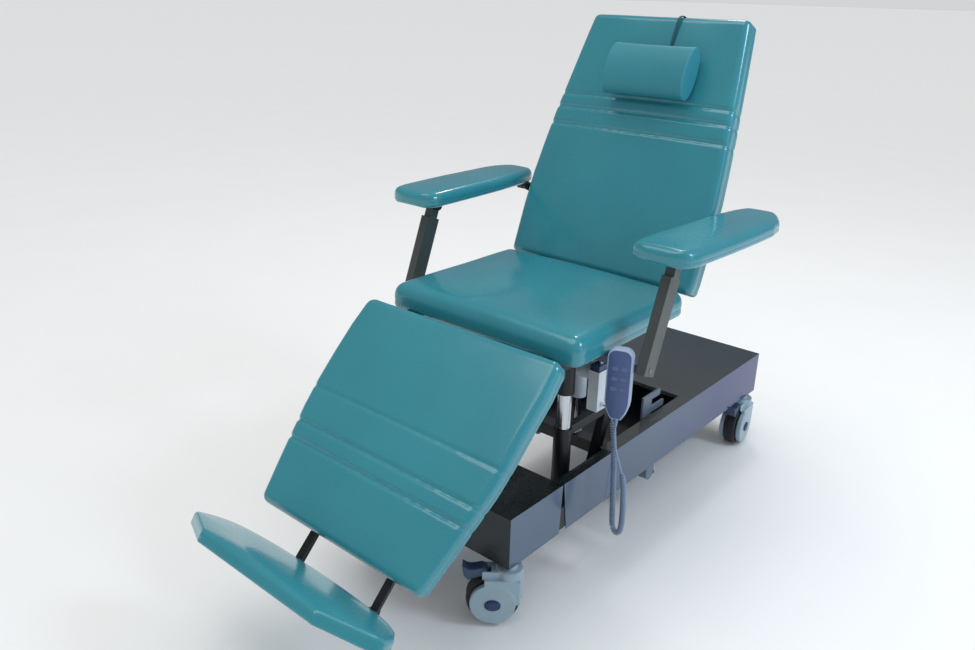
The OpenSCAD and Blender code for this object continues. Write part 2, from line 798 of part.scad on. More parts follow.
module handset() {
    hw = hand_w / 2;
    color("#8c93b8") hand_place() difference() {
        union() {
            box(-hw + hand_r, hw - hand_r, -hand_t / 2, hand_t / 2, 0, hand_l);
            box(-hw, hw, -hand_t / 2, hand_t / 2, 2 * hand_r, hand_l - hand_r);
            for (x = [-hw + hand_r, hw - hand_r])
                rod_y(-hand_t / 2, hand_t / 2, x, hand_l - hand_r, 2 * hand_r);
            for (s = [-1, 1]) translate([s * (hw - hand_r), 0, 2 * hand_r]) rotate([90, 0, 0])
                scale([1, 2, 1]) cylinder(r = hand_r, h = hand_t, center = true, $fn = round_n);
            rod_z(-boot_l, over, 0, 0, boot_d);
        }
        for (col = [0, 1], row = [0, 1, 2])
            key_at(col, row, key_w + 2 * key_clear, key_h + 2 * key_clear, -hand_t / 2 - over,
                -hand_t / 2 + key_t);
    }
}

module key_solid(col, row) {
    color("#d9dde8") hand_place() key_at(col, row, key_w, key_h, -hand_t / 2 - key_proud,
        -hand_t / 2 + key_t - 1.5 * key_proud);
}

module key_lift_up() {
    key_solid(0, 2);
}
module key_lift_down() {
    key_solid(1, 2);
}
module key_back_up() {
    key_solid(0, 1);
}
module key_back_down() {
    key_solid(1, 1);
}
module key_leg_up() {
    key_solid(0, 0);
}
module key_leg_down() {
    key_solid(1, 0);
}

// Cable: the middle line as evenly spaced points, then a curl wound round it

function spline(p0, p1, p2, p3, t) = 0.5 * (2 * p1 + (p2 - p0) * t + (2 * p0 - 5 * p1 + 4 * p2 - p3) * t * t
    + (3 * p1 - p0 - 3 * p2 + p3) * t * t * t);
function point_in(list, i) = list[max(0, min(len(list) - 1, i))];
dense_n = 8;
dense = [for (i = [0:len(route) - 2], k = [0:dense_n - 1]) spline(point_in(route, i - 1), route[i],
    route[i + 1], point_in(route, i + 2), k / dense_n)];
steps = [for (i = [0:len(dense) - 2]) norm(dense[i + 1] - dense[i])];
function sum_to(list, i, s = 0, k = 0) = k >= i ? s : sum_to(list, i, s + list[k], k + 1);
lengths = [for (i = [0:len(dense) - 1]) sum_to(steps, i)];
cord_l = lengths[len(lengths) - 1];
function find_at(s, i = 0) = i >= len(lengths) - 2 || lengths[i + 1] > s ? i : find_at(s, i + 1);
function mid_at(s) = let (i = find_at(s), f = (s - lengths[i]) / (lengths[i + 1] - lengths[i]))
    dense[i] + (dense[i + 1] - dense[i]) * f;
function unit_of(v) = v / norm(v);
function heading(s) = unit_of(mid_at(min(cord_l, s + 1)) - mid_at(max(0, s - 1)));
side_way = [0.25, -0.97, 0];
function across(s) = let (t = heading(s)) unit_of(side_way - t * (side_way * t));
function square_to(s) = cross(heading(s), across(s));
curl_l = cord_l - curl_from - curl_to;
curl_r = (curl_od - cable_d) / 2;
curl_rings = 8 * curls;
fade = 6;
wire_s = concat([for (i = [0:7]) curl_from * i / 8], [for (i = [0:curl_rings]) curl_from + curl_l * i / curl_rings],
    [for (i = [1:3]) cord_l - curl_to + curl_to * i / 3]);
function grow(s) = let (k = (s - curl_from) / curl_l * curl_rings)
    max(0, min(1, min(k / fade, (curl_rings - k) / fade)));
wire = [for (s = wire_s) let (a = 360 * curls * (s - curl_from) / curl_l, r = curl_r * grow(s))
    mid_at(min(s, cord_l)) + r * (across(s) * cos(a) + square_to(s) * sin(a))];
wire_m = len(wire);
function wire_way(i) = i == 0 ? [0, 0, -1] : i == wire_m - 1 ? [-1, 0, 0] : unit_of(wire[i + 1] - wire[i - 1]);
function frame_u(i) = let (t = wire_way(i), m = mid_at(wire_s[i]), v = norm(wire[i] - m) > 0.5 * curl_r
    ? wire[i] - m : across(wire_s[i]) * cos(360 * curls * (wire_s[i] - curl_from) / curl_l)
    + square_to(wire_s[i]) * sin(360 * curls * (wire_s[i] - curl_from) / curl_l), q = i < 9 || i > wire_m - 5
    ? across(wire_s[i]) : v) unit_of(q - t * (q * t));

module handset_cord() {
    color("#aab2c4") loft([for (i = [0:wire_m - 1]) let (t = wire_way(i), u = frame_u(i), w = cross(t, u))
        [for (k = [0:curl_n - 1]) wire[i] + cable_d / 2 * (u * cos(-360 * k / curl_n)
            + w * sin(-360 * k / curl_n))]]);
}

wire_gaps = [for (i = [0:wire_m - 7]) min([for (j = [i + 6:1:min(wire_m - 1, i + 40)]) norm(wire[i] - wire[j])])];
echo(cable_run = cord_l, least_gap = min(wire_gaps) - cable_d);

// Backrest

module back_rails() {
    color("#1c1e22") both_sides() difference() {
        union() {
            back_place() box(seat_rail_x - eye_gap - eye_w, seat_rail_x - eye_gap, -back_rail_t / 2,
                back_rail_t / 2, 0, back_rail_top);
            rod_x(seat_rail_x - eye_gap - eye_w, seat_rail_x - eye_gap, back_pivot_y, pivot_z, eye_d);
        }
        rod_x(seat_rail_x - eye_gap - eye_w - over, seat_rail_x, back_pivot_y, pivot_z,
            seat_pin_d + 2 * fit);
    }
}

module back_crosses() {
    x0 = seat_rail_x - eye_gap - eye_w;
    zp = sqrt(post_l * post_l - arm_back * arm_back);
    color("#1c1e22") back_place() {
        rod_x(-x0, x0, 0, 0, torque_d);
        box(lever_x - lever_t, lever_x, -lever_w / 2, lever_w / 2, -lever_l, 0);
        rod_x(lever_x - lever_t, lever_x, 0, -lever_l, lever_w);
        box(-x0, x0, -back_rail_t / 2 + sheet_t, back_rail_t / 2 - sheet_t, top_cross_z, top_cross_z + 3 * carrier_t);
        box(-carrier_x, carrier_x, back_rail_t / 2, back_rail_t / 2 + carrier_t, zp - carrier_h / 2,
            zp + carrier_h / 2);
        both_sides() {
            box(carrier_x - ear_t, carrier_x, -arm_back, back_rail_t / 2 + carrier_t, zp - carrier_h / 2,
                zp + carrier_h / 2);
            rod_x(carrier_x - ear_t, carrier_x, -arm_back, zp, carrier_h);
            rod_x(carrier_x - over, post_x + post_t / 2 + ear_t, -arm_back, zp, arm_pin_d);
        }
    }
}
arm_back = post_l * sin(back_lean - post_lean);

module back_board() {
    w0 = back_w / 2 - 2 * seat_board_inset;
    w1 = w0 * 0.8;
    color("#2b2d31") back_place() translate([0, -back_rail_t / 2, 0]) rotate([90, 0, 0])
        linear_extrude(height = back_board_t) polygon([[-w0, back_low + seat_board_inset],
            [w0, back_low + seat_board_inset], [w1, back_low + back_l - seat_board_inset],
            [-w1, back_low + back_l - seat_board_inset]]);
}

module back_cushion() {
    color("#2f8c99") back_place() translate([0, -back_rail_t / 2 - back_board_t, back_low])
        rotate([90, 0, 0]) cushion(back_w, back_l, back_t, back_crown, back_shares, 20,
            square_share);
}
back_crown = 8;

module head_pillow() {
    y0 = -back_rail_t / 2 - back_board_t - back_t - 1.3 * back_crown - gap - strap_t;
    z1 = back_low + back_l + 2 * gap;
    y1 = -back_rail_t / 2 + gap;
    color("#2a7f8c") back_place() {
        translate([pillow_x, y0, pillow_z + pillow_h / 2]) rotate([90, 0, 0]) rotate([0, 0, -90])
            translate([0, -pillow_w / 2, 0])
            cushion(pillow_h, pillow_w, pillow_t, 0, pillow_shares, 18, round_share);
        // Strap over the top of the backrest
        translate([strap_x, 0, 0]) {
            box(-strap_w / 2, strap_w / 2, y0 - strap_t, y0 + strap_t, pillow_z + pillow_h / 3, z1 + strap_t);
            box(-strap_w / 2, strap_w / 2, y0, y1 + strap_t, z1, z1 + strap_t);
            box(-strap_w / 2, strap_w / 2, y1, y1 + strap_t, z1 - strap_l, z1 + strap_t);
        }
    }
}

// Leg rest

module leg_rails() {
    x0 = seat_rail_x - eye_gap - eye_w;
    x1 = seat_rail_x - eye_gap;
    color("#1c1e22") both_sides() difference() {
        union() {
            leg_place() box(x0, x1, -leg_rail_l, 0, 0, leg_rail_t);
            rod_x(x0, x1, leg_pivot_y, pivot_z, eye_d);
        }
        rod_x(x0 - over, x1 + over, leg_pivot_y, pivot_z, seat_pin_d + 2 * fit);
    }
}

module leg_crosses() {
    x0 = seat_rail_x - eye_gap - eye_w;
    color("#1c1e22") leg_place() difference() {
        union() {
            for (s = [leg_cross_a, leg_cross_b, leg_cross_c])
                box(-x0, x0, -s - leg_cross_w / 2, -s + leg_cross_w / 2, 0, leg_rail_t);
            for (s = [leg_cross_b, leg_cross_c], x = [-foot_bar_x, foot_bar_x])
                box(x - foot_bar_w / 2 - gap - sleeve_t, x + foot_bar_w / 2 + gap + sleeve_t,
                    -s - leg_cross_w / 2, -s + leg_cross_w / 2,
                    leg_drop - foot_bar_t / 2 - gap - sleeve_t, over);
            plate_x(lug_x - lug_t, lug_x, [[-leg_cross_a + leg_cross_w / 2, over],
                [-leg_lug_s + drive_eye_d / 2, -leg_lug_z], [-leg_lug_s - drive_eye_d / 2, -leg_lug_z],
                [-leg_cross_a - leg_cross_w / 2, over]]);
            rod_x(lug_x - lug_t, lug_x, -leg_lug_s, -leg_lug_z, drive_eye_d);
        }
        for (x = [-foot_bar_x, foot_bar_x])
            box(x - foot_bar_w / 2 - gap, x + foot_bar_w / 2 + gap, -leg_cross_c - leg_cross_w,
                -leg_cross_b + leg_cross_w, leg_drop - foot_bar_t / 2 - gap,
                leg_drop + foot_bar_t / 2 + gap);
    }
}

module leg_board() {
    w0 = leg_w / 2 - seat_board_inset;
    w1 = w0 * 0.82;
    color("#2b2d31") leg_place() translate([0, 0, leg_rail_t]) linear_extrude(height = leg_board_t)
        polygon([[-w0, -leg_low - seat_board_inset], [w0, -leg_low - seat_board_inset],
            [w1, -leg_low - leg_l + seat_board_inset], [-w1, -leg_low - leg_l + seat_board_inset]]);
}

module leg_cushion() {
    color("#2f8c99") leg_place() translate([0, -leg_low, leg_rail_t + leg_board_t]) rotate([0, 0, 180])
        cushion(leg_w, leg_l, leg_t, leg_crown, leg_shares, 18, square_share);
}
leg_crown = 8;

// Footrest

module foot_bars() {
    z1 = leg_drop + foot_bar_t / 2;
    z0 = leg_drop - foot_bar_t / 2;
    color("#141517") for (x = [-foot_bar_x, foot_bar_x]) {
        leg_place() box(x - foot_bar_w / 2, x + foot_bar_w / 2, -foot_bar_s1 - foot_bar_t, -foot_bar_s0, z0, z1);
        foot_place() plate_x(x - foot_bar_w / 2, x + foot_bar_w / 2,
            [[-foot_under, z0 - foot_z], [-foot_under, foot_reach],
            [-foot_under - foot_bar_t, foot_reach], [-foot_under - foot_bar_t, z0 - foot_z]]);
    }
}
foot_under = foot_pad_t + foot_board_t;

module foot_board() {
    color("#1b1c1f") foot_place() translate([0, -foot_pad_t, 0]) rotate([90, 0, 0])
        linear_extrude(height = foot_board_t) polygon([for (r = foot_shares) [foot_half * r[1], foot_d * r[0]],
            for (i = [len(foot_shares) - 1:-1:0]) [-foot_half * foot_shares[i][1], foot_d * foot_shares[i][0]]]);
}
foot_half = foot_w / 2 - seat_board_inset / 2;

module foot_pad() {
    color("#2f8c99") foot_place() mirror([0, 1, 0]) rotate([90, 0, 0]) translate([0, 0, -foot_pad_t])
        cushion(foot_w, foot_d, foot_pad_t, foot_crown, foot_shares, 16, soft_share);
}

// Armrests

module arm_post() {
    difference() {
        translate([post_x, post_foot_y, pivot_z]) rotate([-post_lean, 0, 0]) union() {
            difference() {
                box(-post_t / 2, post_t / 2, -post_w / 2, post_w / 2, -post_eye_d / 2, post_l - neck_l);
                box(-post_t / 2 + post_wall, post_t / 2 - post_wall, -post_w / 2 + post_wall,
                    post_w / 2 - post_wall, post_eye_d, post_l - neck_l - post_wall);
            }
            box(-post_t / 2, post_t / 2, -post_eye_d / 2, post_eye_d / 2, post_l - neck_l - over, post_l);
            rod_x(-post_t / 2, post_t / 2, 0, post_l, post_eye_d);
        }
        rod_x(pad_x, post_x + post_t, post_foot_y, pivot_z, arm_pin_d + 2 * fit);
        rod_x(pad_x, post_x + post_t, post_top_y, post_top_z, arm_pin_d + 2 * fit);
    }
}
post_top_y = post_foot_y + post_l * sin(post_lean);
post_top_z = pivot_z + post_l * cos(post_lean);
rear_y = back_pivot_y + post_l * sin(post_lean);

module arm_post_left() {
    color("#6f6a66") arm_post();
}
module arm_post_right() {
    color("#6f6a66") mirror([1, 0, 0]) arm_post();
}

module arm_board() {
    z0 = post_top_z + arm_drop;
    x0 = post_x - post_t / 2;
    x1 = post_x + post_t / 2;
    in = arm_lug_t;
    y0 = pad_y + in;
    board_l = rear_y + arm_lug_w / 2 + eye_gap - y0;
    difference() {
        union() {
            translate([0, 0, z0]) linear_extrude(height = arm_board_t) polygon([
                for (r = pad_shares) [pad_x + pad_w * r[1] + in, y0 + board_l * r[0]],
                for (i = [len(pad_shares) - 1:-1:0]) [pad_x + pad_w * pad_shares[i][2] - in,
                    y0 + board_l * pad_shares[i][0]]]);
            for (x = [x0 - eye_gap - arm_lug_t, x1 + eye_gap]) {
                box(x, x + arm_lug_t, post_top_y - arm_lug_w / 2, post_top_y + arm_lug_w / 2, post_top_z, z0);
                rod_x(x, x + arm_lug_t, post_top_y, post_top_z, arm_lug_w);
            }
            rod_x(x0 - eye_gap - over, x1 + eye_gap + over, post_top_y, post_top_z, arm_pin_d);
            box(x0 + eye_gap, x1 - eye_gap, rear_y - arm_lug_w / 2, rear_y + arm_lug_w / 2, post_top_z, z0);
            rod_x(x0 + eye_gap, x1 - eye_gap, rear_y, post_top_z, arm_lug_w);
        }
        rod_x(x0, x1, rear_y, post_top_z, arm_pin_d + 2 * arm_slack);
    }
}

module arm_board_left() {
    color("#25262a") arm_board();
}
module arm_board_right() {
    color("#25262a") mirror([1, 0, 0]) arm_board();
}

module arm_pad() {
    z0 = post_top_z + arm_drop + arm_board_t;
    loft([for (r = pad_shares) cushion_ring(pad_y + pad_l * r[0], pad_x + pad_w * r[1],
        pad_x + pad_w * r[2], z0, z0 + pad_t * r[3], pad_crown * r[3], 16, square_share)]);
}
pad_crown = 5;

module arm_pad_left() {
    color("#2f8c99") arm_pad();
}
module arm_pad_right() {
    color("#2f8c99") mirror([1, 0, 0]) arm_pad();
}

// Drives, each lying along -Y from its rear pin

module drive_body(tube_l, bore_l) {
    difference() {
        union() {
            rod_x(-drive_eye_w, drive_eye_w, 0, 0, drive_eye_d);
            box(-drive_eye_w, drive_eye_w, -drive_eye_d, 0, -drive_eye_d / 2, drive_eye_d / 2);
            box(-drive_tube_d / 2 - sheet_t, drive_tube_d / 2 + sheet_t, -drive_eye_d - drive_head,
                -drive_eye_d, -drive_head / 2, drive_head / 2);
            rod_y(-tube_l, -drive_eye_d - drive_head, 0, 0, drive_tube_d);
            rod_x(drive_tube_d / 2, drive_tube_d / 2 + drive_motor_l, -drive_eye_d - drive_head / 2, 0,
                drive_motor_d);
        }
        rod_x(-drive_head, drive_eye_w + over, 0, 0, drive_pin_d + 2 * fit);
        rod_y(-tube_l - over, -drive_eye_d - drive_head, 0, 0, drive_rod_d + 2 * fit);
    }
}

module drive_rod(l, inside) {
    rod_y(-l, -inside, 0, 0, drive_rod_d);
    rod_x(-rod_eye_w / 2, rod_eye_w / 2, -l, 0, drive_eye_d);
}

module leg_drive_place() {
    translate([drive_x, leg_drive_y, leg_drive_z]) rotate([leg_drive_a, 0, 0]) children();
}

module back_drive_place() {
    translate([-drive_x, back_drive_y, back_drive_z]) rotate([-back_drive_a, 0, 0]) mirror([0, 1, 0])
        children();
}

module leg_motor() {
    color("#e4e7e8") leg_drive_place() drive_body(leg_tube_l, leg_tube_l);
}
module leg_rod() {
    color("#c9ccd0") leg_drive_place() drive_rod(leg_drive_l, leg_drive_l / 3);
}
module back_motor() {
    color("#e4e7e8") back_drive_place() drive_body(back_tube_l, back_tube_l);
}
module back_rod() {
    color("#c9ccd0") back_drive_place() drive_rod(back_drive_l, back_drive_l / 2);
}

front_box();
side_panels();
rear_cover();
base_rails();
cross_members();
lift_columns();
lift_rod();
power_unit();
under_tray();
earth_posts();
seat_rails();
seat_crosses();
column_rods();
lift_motor();
seat_board();
seat_cushion();
control_box();
arm_brackets();
handset();
handset_cord();
back_rails();
back_crosses();
back_board();
back_cushion();
head_pillow();
leg_rails();
leg_crosses();
leg_board();
leg_cushion();
foot_bars();
foot_board();
foot_pad();
arm_post_left();
arm_post_right();
arm_board_left();
arm_board_right();
arm_pad_left();
arm_pad_right();
leg_motor();
leg_rod();
back_motor();
back_rod();
shell_front_left();
wheel_front_left();
pedal_front_left();
shell_front_right();
wheel_front_right();
pedal_front_right();
shell_rear_left();
wheel_rear_left();
pedal_rear_left();
shell_rear_right();
wheel_rear_right();
pedal_rear_right();
key_lift_up();
key_lift_down();
key_back_up();
key_back_down();
key_leg_up();
key_leg_down();
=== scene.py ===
import json
import math

import bmesh
import bpy
import numpy as np
from mathutils import Matrix, Vector


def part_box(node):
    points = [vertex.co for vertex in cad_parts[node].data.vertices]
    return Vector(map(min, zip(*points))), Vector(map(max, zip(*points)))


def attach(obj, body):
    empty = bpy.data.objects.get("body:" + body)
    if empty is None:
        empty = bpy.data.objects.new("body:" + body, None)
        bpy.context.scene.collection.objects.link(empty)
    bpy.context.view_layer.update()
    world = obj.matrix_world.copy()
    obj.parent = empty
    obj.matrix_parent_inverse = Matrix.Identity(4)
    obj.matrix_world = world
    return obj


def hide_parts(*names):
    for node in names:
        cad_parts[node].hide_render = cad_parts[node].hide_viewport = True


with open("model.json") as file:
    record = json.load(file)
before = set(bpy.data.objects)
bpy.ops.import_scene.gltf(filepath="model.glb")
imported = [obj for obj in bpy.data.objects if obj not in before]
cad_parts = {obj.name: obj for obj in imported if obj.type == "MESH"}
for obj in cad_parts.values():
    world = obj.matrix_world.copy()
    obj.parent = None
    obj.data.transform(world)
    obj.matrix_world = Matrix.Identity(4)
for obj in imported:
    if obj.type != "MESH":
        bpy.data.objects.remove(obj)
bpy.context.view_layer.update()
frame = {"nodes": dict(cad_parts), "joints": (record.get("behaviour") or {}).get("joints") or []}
nodes = frame["nodes"]
joints = {joint["name"]: joint for joint in frame["joints"]}
scene = bpy.context.scene
mm = 0.001
print("frame loaded:", len(nodes), "nodes")


# camera, where the photograph was taken from
photoView = {
    "place": (1.2111, -1.6631, 1.3769),
    "turnLeft": 40.3, "lookDown": 20.8, "roll": 1.4,   # degrees
    "wide": 975, "high": 650, "focal": 860.4, "middle": (483.4, 316.3),   # pixels
    "sensor": 36.0, "near": 0.05, "far": 400,
}


def addCamera(view):
    # three axes from turn, tilt and roll; the lens is focal length over picture width times the sensor
    turn, tilt, roll = (math.radians(a) for a in (view["turnLeft"], -view["lookDown"], view["roll"]))
    ahead = Vector((-math.sin(turn) * math.cos(tilt), math.cos(turn) * math.cos(tilt), math.sin(tilt)))
    right = Vector((math.cos(turn), math.sin(turn), 0))
    up = right.cross(ahead)
    rolledRight = right * math.cos(roll) + up * math.sin(roll)
    rolledUp = up * math.cos(roll) - right * math.sin(roll)
    camera = bpy.data.objects.new("camera", bpy.data.cameras.new("camera"))
    scene.collection.objects.link(camera)
    camera.matrix_world = Matrix.Translation(view["place"]) @ Matrix(
        (rolledRight, rolledUp, -ahead)).transposed().to_4x4()
    camera.data.sensor_width = view["sensor"]
    camera.data.lens = view["focal"] / view["wide"] * view["sensor"]
    camera.data.shift_x = (view["wide"] / 2 - view["middle"][0]) / view["wide"]
    camera.data.shift_y = (view["middle"][1] - view["high"] / 2) / view["wide"]
    camera.data.clip_start, camera.data.clip_end = view["near"], view["far"]
    scene.camera = camera


addCamera(photoView)
print("camera placed")


# materials: each has its own pattern in Object coordinates, with roughness and bump from it
patternValues = {"patchDetail": 2.0, "grainDetail": 4.0, "bumpDepth": 0.0004}
plainFinish = {"metal": 0.0, "coat": 0.0, "coatRough": 0.1, "stretch": (1, 1, 1), "patchStretch": (1, 1, 1)}


def startMaterial(name, values):
    # a Principled surface with the fixed numbers on its own sockets
    material = bpy.data.materials.new(name)
    material.use_nodes = True
    shader = material.node_tree.nodes["Principled BSDF"]
    for socket, key in (("Metallic", "metal"), ("Coat Weight", "coat"), ("Coat Roughness", "coatRough")):
        shader.inputs[socket].default_value = values[key]
    material.diffuse_color = (*values["colour"], 1)
    return material, material.node_tree, shader


def addNoise(tree, coordinates, scale, detail, stretch=(1, 1, 1)):
    # noise over the object's own coordinates, stretched along its grain
    mapping = tree.nodes.new("ShaderNodeMapping")
    mapping.inputs["Scale"].default_value = stretch
    tree.links.new(coordinates, mapping.inputs["Vector"])
    noise = tree.nodes.new("ShaderNodeTexNoise")
    noise.inputs["Scale"].default_value = scale
    noise.inputs["Detail"].default_value = detail
    tree.links.new(mapping.outputs["Vector"], noise.inputs["Vector"])
    return noise.outputs["Fac"]


def addRange(tree, value, low, high, start=0.3, end=0.7):
    # maps start..end of a value onto low..high; noise mostly stays between 0.3 and 0.7
    remap = tree.nodes.new("ShaderNodeMapRange")
    remap.inputs["From Min"].default_value, remap.inputs["From Max"].default_value = start, end
    remap.inputs["To Min"].default_value, remap.inputs["To Max"].default_value = low, high
    tree.links.new(value, remap.inputs["Value"])
    return remap.outputs["Result"]


def addMix(tree, share, first, second):
    # first colour where the share is 0, second where it is 1; for colours the node's sockets are
    # inputs 6 and 7 and output 2
    mix = tree.nodes.new("ShaderNodeMix")
    mix.data_type = "RGBA"
    for socket, colour in ((mix.inputs[6], first), (mix.inputs[7], second)):
        if isinstance(colour, tuple):
            socket.default_value = (*colour, 1)
        else:
            tree.links.new(colour, socket)
    tree.links.new(share, mix.inputs[0])
    return mix.outputs[2]


def addBump(tree, height, strength, distance):
    # bends the normal by the slope of a height
    bump = tree.nodes.new("ShaderNodeBump")
    bump.inputs["Strength"].default_value = strength
    bump.inputs["Distance"].default_value = distance
    tree.links.new(height, bump.inputs["Height"])
    return bump.outputs["Normal"]


def surfaceFinish(name, values):
    # colour drifts to a second tone over large soft patches, and along Y to a rear colour where one is given,
    # as painted shade towards the rear; a fine grain drives roughness and bump
    material, tree, shader = startMaterial(name, values)
    coordinates = tree.nodes.new("ShaderNodeTexCoord").outputs["Object"]
    patches = addNoise(tree, coordinates, values["patch"], patternValues["patchDetail"],
                       values["patchStretch"])
    grain = addNoise(tree, coordinates, values["grain"], patternValues["grainDetail"], values["stretch"])
    colour = addMix(tree, addRange(tree, patches, 0.0, 1.0), values["colour"], values["tone"])
    # the rear colour is painted shade: the sheets darken towards the rear
    if "rear" in values:
        split = tree.nodes.new("ShaderNodeSeparateXYZ")
        tree.links.new(coordinates, split.inputs["Vector"])
        rearShadeShare = addRange(tree, split.outputs["Y"], 0.0, 1.0, *values["rearShadeFrom"])
        colour = addMix(tree, rearShadeShare, colour, values["rear"])
    tree.links.new(colour, shader.inputs["Base Color"])
    tree.links.new(addRange(tree, grain, *values["rough"]), shader.inputs["Roughness"])
    bump = addBump(tree, grain, values["bump"], patternValues["bumpDepth"])
    tree.links.new(bump, shader.inputs["Normal"])
    return material


finishValues = {
    "tealVinyl": {"colour": (0.026, 0.220, 0.272), "tone": (0.033, 0.250, 0.302), "rough": (0.20, 0.30),
                  "grain": 600, "bump": 0.05, "coat": 0.5, "coatRough": 0.08, "patch": 3.5},
    "pillowVinyl": {"colour": (0.024, 0.225, 0.278), "tone": (0.030, 0.250, 0.305), "rough": (0.45, 0.6),
                    "grain": 420, "bump": 0.15, "patch": 6},
    # the pillow's strap, teal vinyl coloured near black as painted shadow along its edge
    "strapPaintedShadow": {"colour": (0.006, 0.075, 0.095), "tone": (0.010, 0.095, 0.115), "rough": (0.6, 0.8),
                 "grain": 900, "bump": 0.4, "patch": 20},
    # the base's sheets: the rear colour is painted shade, darker and bluer towards the rear
    "baseSheet": {"colour": (0.082, 0.122, 0.190), "tone": (0.105, 0.150, 0.222), "rough": (0.22, 0.26),
                  "metal": 0.5, "grain": 260, "bump": 0.002, "patch": 1.6,
                  "patchStretch": (1, 1, 0.25), "coat": 0.3, "coatRough": 0.12,
                  "rear": (0.022, 0.045, 0.150), "rearShadeFrom": (0.20, 0.62)},
    # the cover's faces that look up: a copy of the sheet as painted reflection, darker towards the rear as
    # painted shade
    "coverTopPaintedReflection": {"colour": (0.095, 0.100, 0.090), "tone": (0.115, 0.116, 0.104), "rough": (0.16, 0.26),
                 "metal": 0.5, "grain": 90, "stretch": (1, 0.3, 1), "bump": 0.012,
                 "patch": 2.0, "coat": 0.3, "coatRough": 0.1,
                 "rear": (0.045, 0.062, 0.075), "rearShadeFrom": (0.35, 0.85)},
    # the box's top and front faces: darker copies of the sheet, as painted reflection
    "boxTopPaintedReflection": {"colour": (0.014, 0.018, 0.018), "tone": (0.024, 0.029, 0.029), "rough": (0.2, 0.3),
               "metal": 0.4, "grain": 90, "bump": 0.012, "patch": 4, "coat": 0.3, "coatRough": 0.1},
    "boxFrontPaintedReflection": {"colour": (0.030, 0.037, 0.039), "tone": (0.042, 0.050, 0.053), "rough": (0.30, 0.42),
                 "metal": 0.3, "grain": 90, "stretch": (1, 1, 0.3), "bump": 0.015, "patch": 5},
    "darkFrame": {"colour": (0.008, 0.009, 0.011), "tone": (0.015, 0.016, 0.019), "rough": (0.38, 0.55),
                  "grain": 380, "bump": 0.12, "patch": 9},
    "columnPaint": {"colour": (0.004, 0.005, 0.007), "tone": (0.009, 0.010, 0.013), "rough": (0.30, 0.42),
                    "metal": 0.2, "grain": 300, "stretch": (1, 1, 0.1), "bump": 0.05, "patch": 12},
    "brightSteel": {"colour": (0.52, 0.54, 0.57), "tone": (0.60, 0.62, 0.65), "rough": (0.12, 0.22),
                    "metal": 1.0, "grain": 500, "stretch": (1, 1, 0.05), "bump": 0.03, "patch": 8},
    "postSteel": {"colour": (0.085, 0.094, 0.090), "tone": (0.112, 0.120, 0.114), "rough": (0.30, 0.42),
                  "metal": 0.45, "grain": 320, "stretch": (1, 0.25, 0.05), "bump": 0.04, "patch": 7,
                  "patchStretch": (1, 1, 0.3)},
    "greyMetal": {"colour": (0.130, 0.170, 0.225), "tone": (0.165, 0.205, 0.262), "rough": (0.35, 0.5),
                  "metal": 0.4, "grain": 420, "bump": 0.1, "patch": 14},
    "driveHousing": {"colour": (0.52, 0.57, 0.61), "tone": (0.60, 0.64, 0.68), "rough": (0.34, 0.46),
                     "grain": 600, "bump": 0.08, "patch": 15},
    "darkBoard": {"colour": (0.014, 0.016, 0.018), "tone": (0.024, 0.026, 0.029), "rough": (0.45, 0.62),
                  "grain": 240, "stretch": (0.2, 1, 1), "bump": 0.15, "patch": 8},
    "blackBar": {"colour": (0.006, 0.006, 0.007), "tone": (0.012, 0.012, 0.013), "rough": (0.25, 0.4),
                 "grain": 450, "bump": 0.08, "patch": 12},
    "handsetFace": {"colour": (0.050, 0.088, 0.215), "tone": (0.062, 0.102, 0.240), "rough": (0.34, 0.46),
                    "grain": 900, "bump": 0.08, "patch": 18},
    "handsetRim": {"colour": (0.300, 0.370, 0.500), "tone": (0.350, 0.420, 0.550), "rough": (0.32, 0.44),
                   "grain": 900, "bump": 0.08, "patch": 18},
    "keyPlastic": {"colour": (0.075, 0.120, 0.270), "tone": (0.090, 0.138, 0.300), "rough": (0.35, 0.5),
                   "grain": 1100, "bump": 0.08, "patch": 30},
    "cable": {"colour": (0.180, 0.245, 0.360), "tone": (0.220, 0.285, 0.405), "rough": (0.36, 0.5),
              "grain": 900, "bump": 0.1, "patch": 14},
    "casterShell": {"colour": (0.27, 0.37, 0.43), "tone": (0.33, 0.43, 0.49), "rough": (0.30, 0.42),
                    "grain": 700, "bump": 0.07, "patch": 14, "coat": 0.1},
    "tyre": {"colour": (0.008, 0.008, 0.010), "tone": (0.016, 0.016, 0.019), "rough": (0.5, 0.68),
             "grain": 500, "bump": 0.2, "patch": 12},
    "navyPlastic": {"colour": (0.012, 0.030, 0.095), "tone": (0.018, 0.040, 0.120), "rough": (0.28, 0.42),
                    "grain": 700, "bump": 0.08, "patch": 16},
    "pedalPlastic": {"colour": (0.030, 0.060, 0.115), "tone": (0.042, 0.078, 0.140), "rough": (0.35, 0.5),
                     "grain": 600, "bump": 0.12, "patch": 16},
}
finishes = {name: surfaceFinish(name, {**plainFinish, **values}) for name, values in finishValues.items()}
print("finishes made:", len(finishes))


# mesh tools
weld, sliver, cadWeld = 1e-6, 1e-7, 2e-6   # closer points are one
flatAngle, sharpAngle, turnedAngle = 0.6, 35, 40   # degrees: flat below the first, sharp above the others
edgeSegments, curveSteps = 2, 4001


def setFinish(piece, *names):
    # the named finishes become the piece's slots
    piece.data.materials.clear()
    for name in names:
        piece.data.materials.append(finishes[name])


def finishPiece(piece, finish, body, smoothAngle=None):
    # shade, dress and hand the piece to its body
    setFinish(piece, finish)
    if smoothAngle is None:
        piece.data.shade_smooth()
    else:
        piece.data.set_sharp_from_angle(angle=math.radians(smoothAngle))
    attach(piece, body)
    return piece


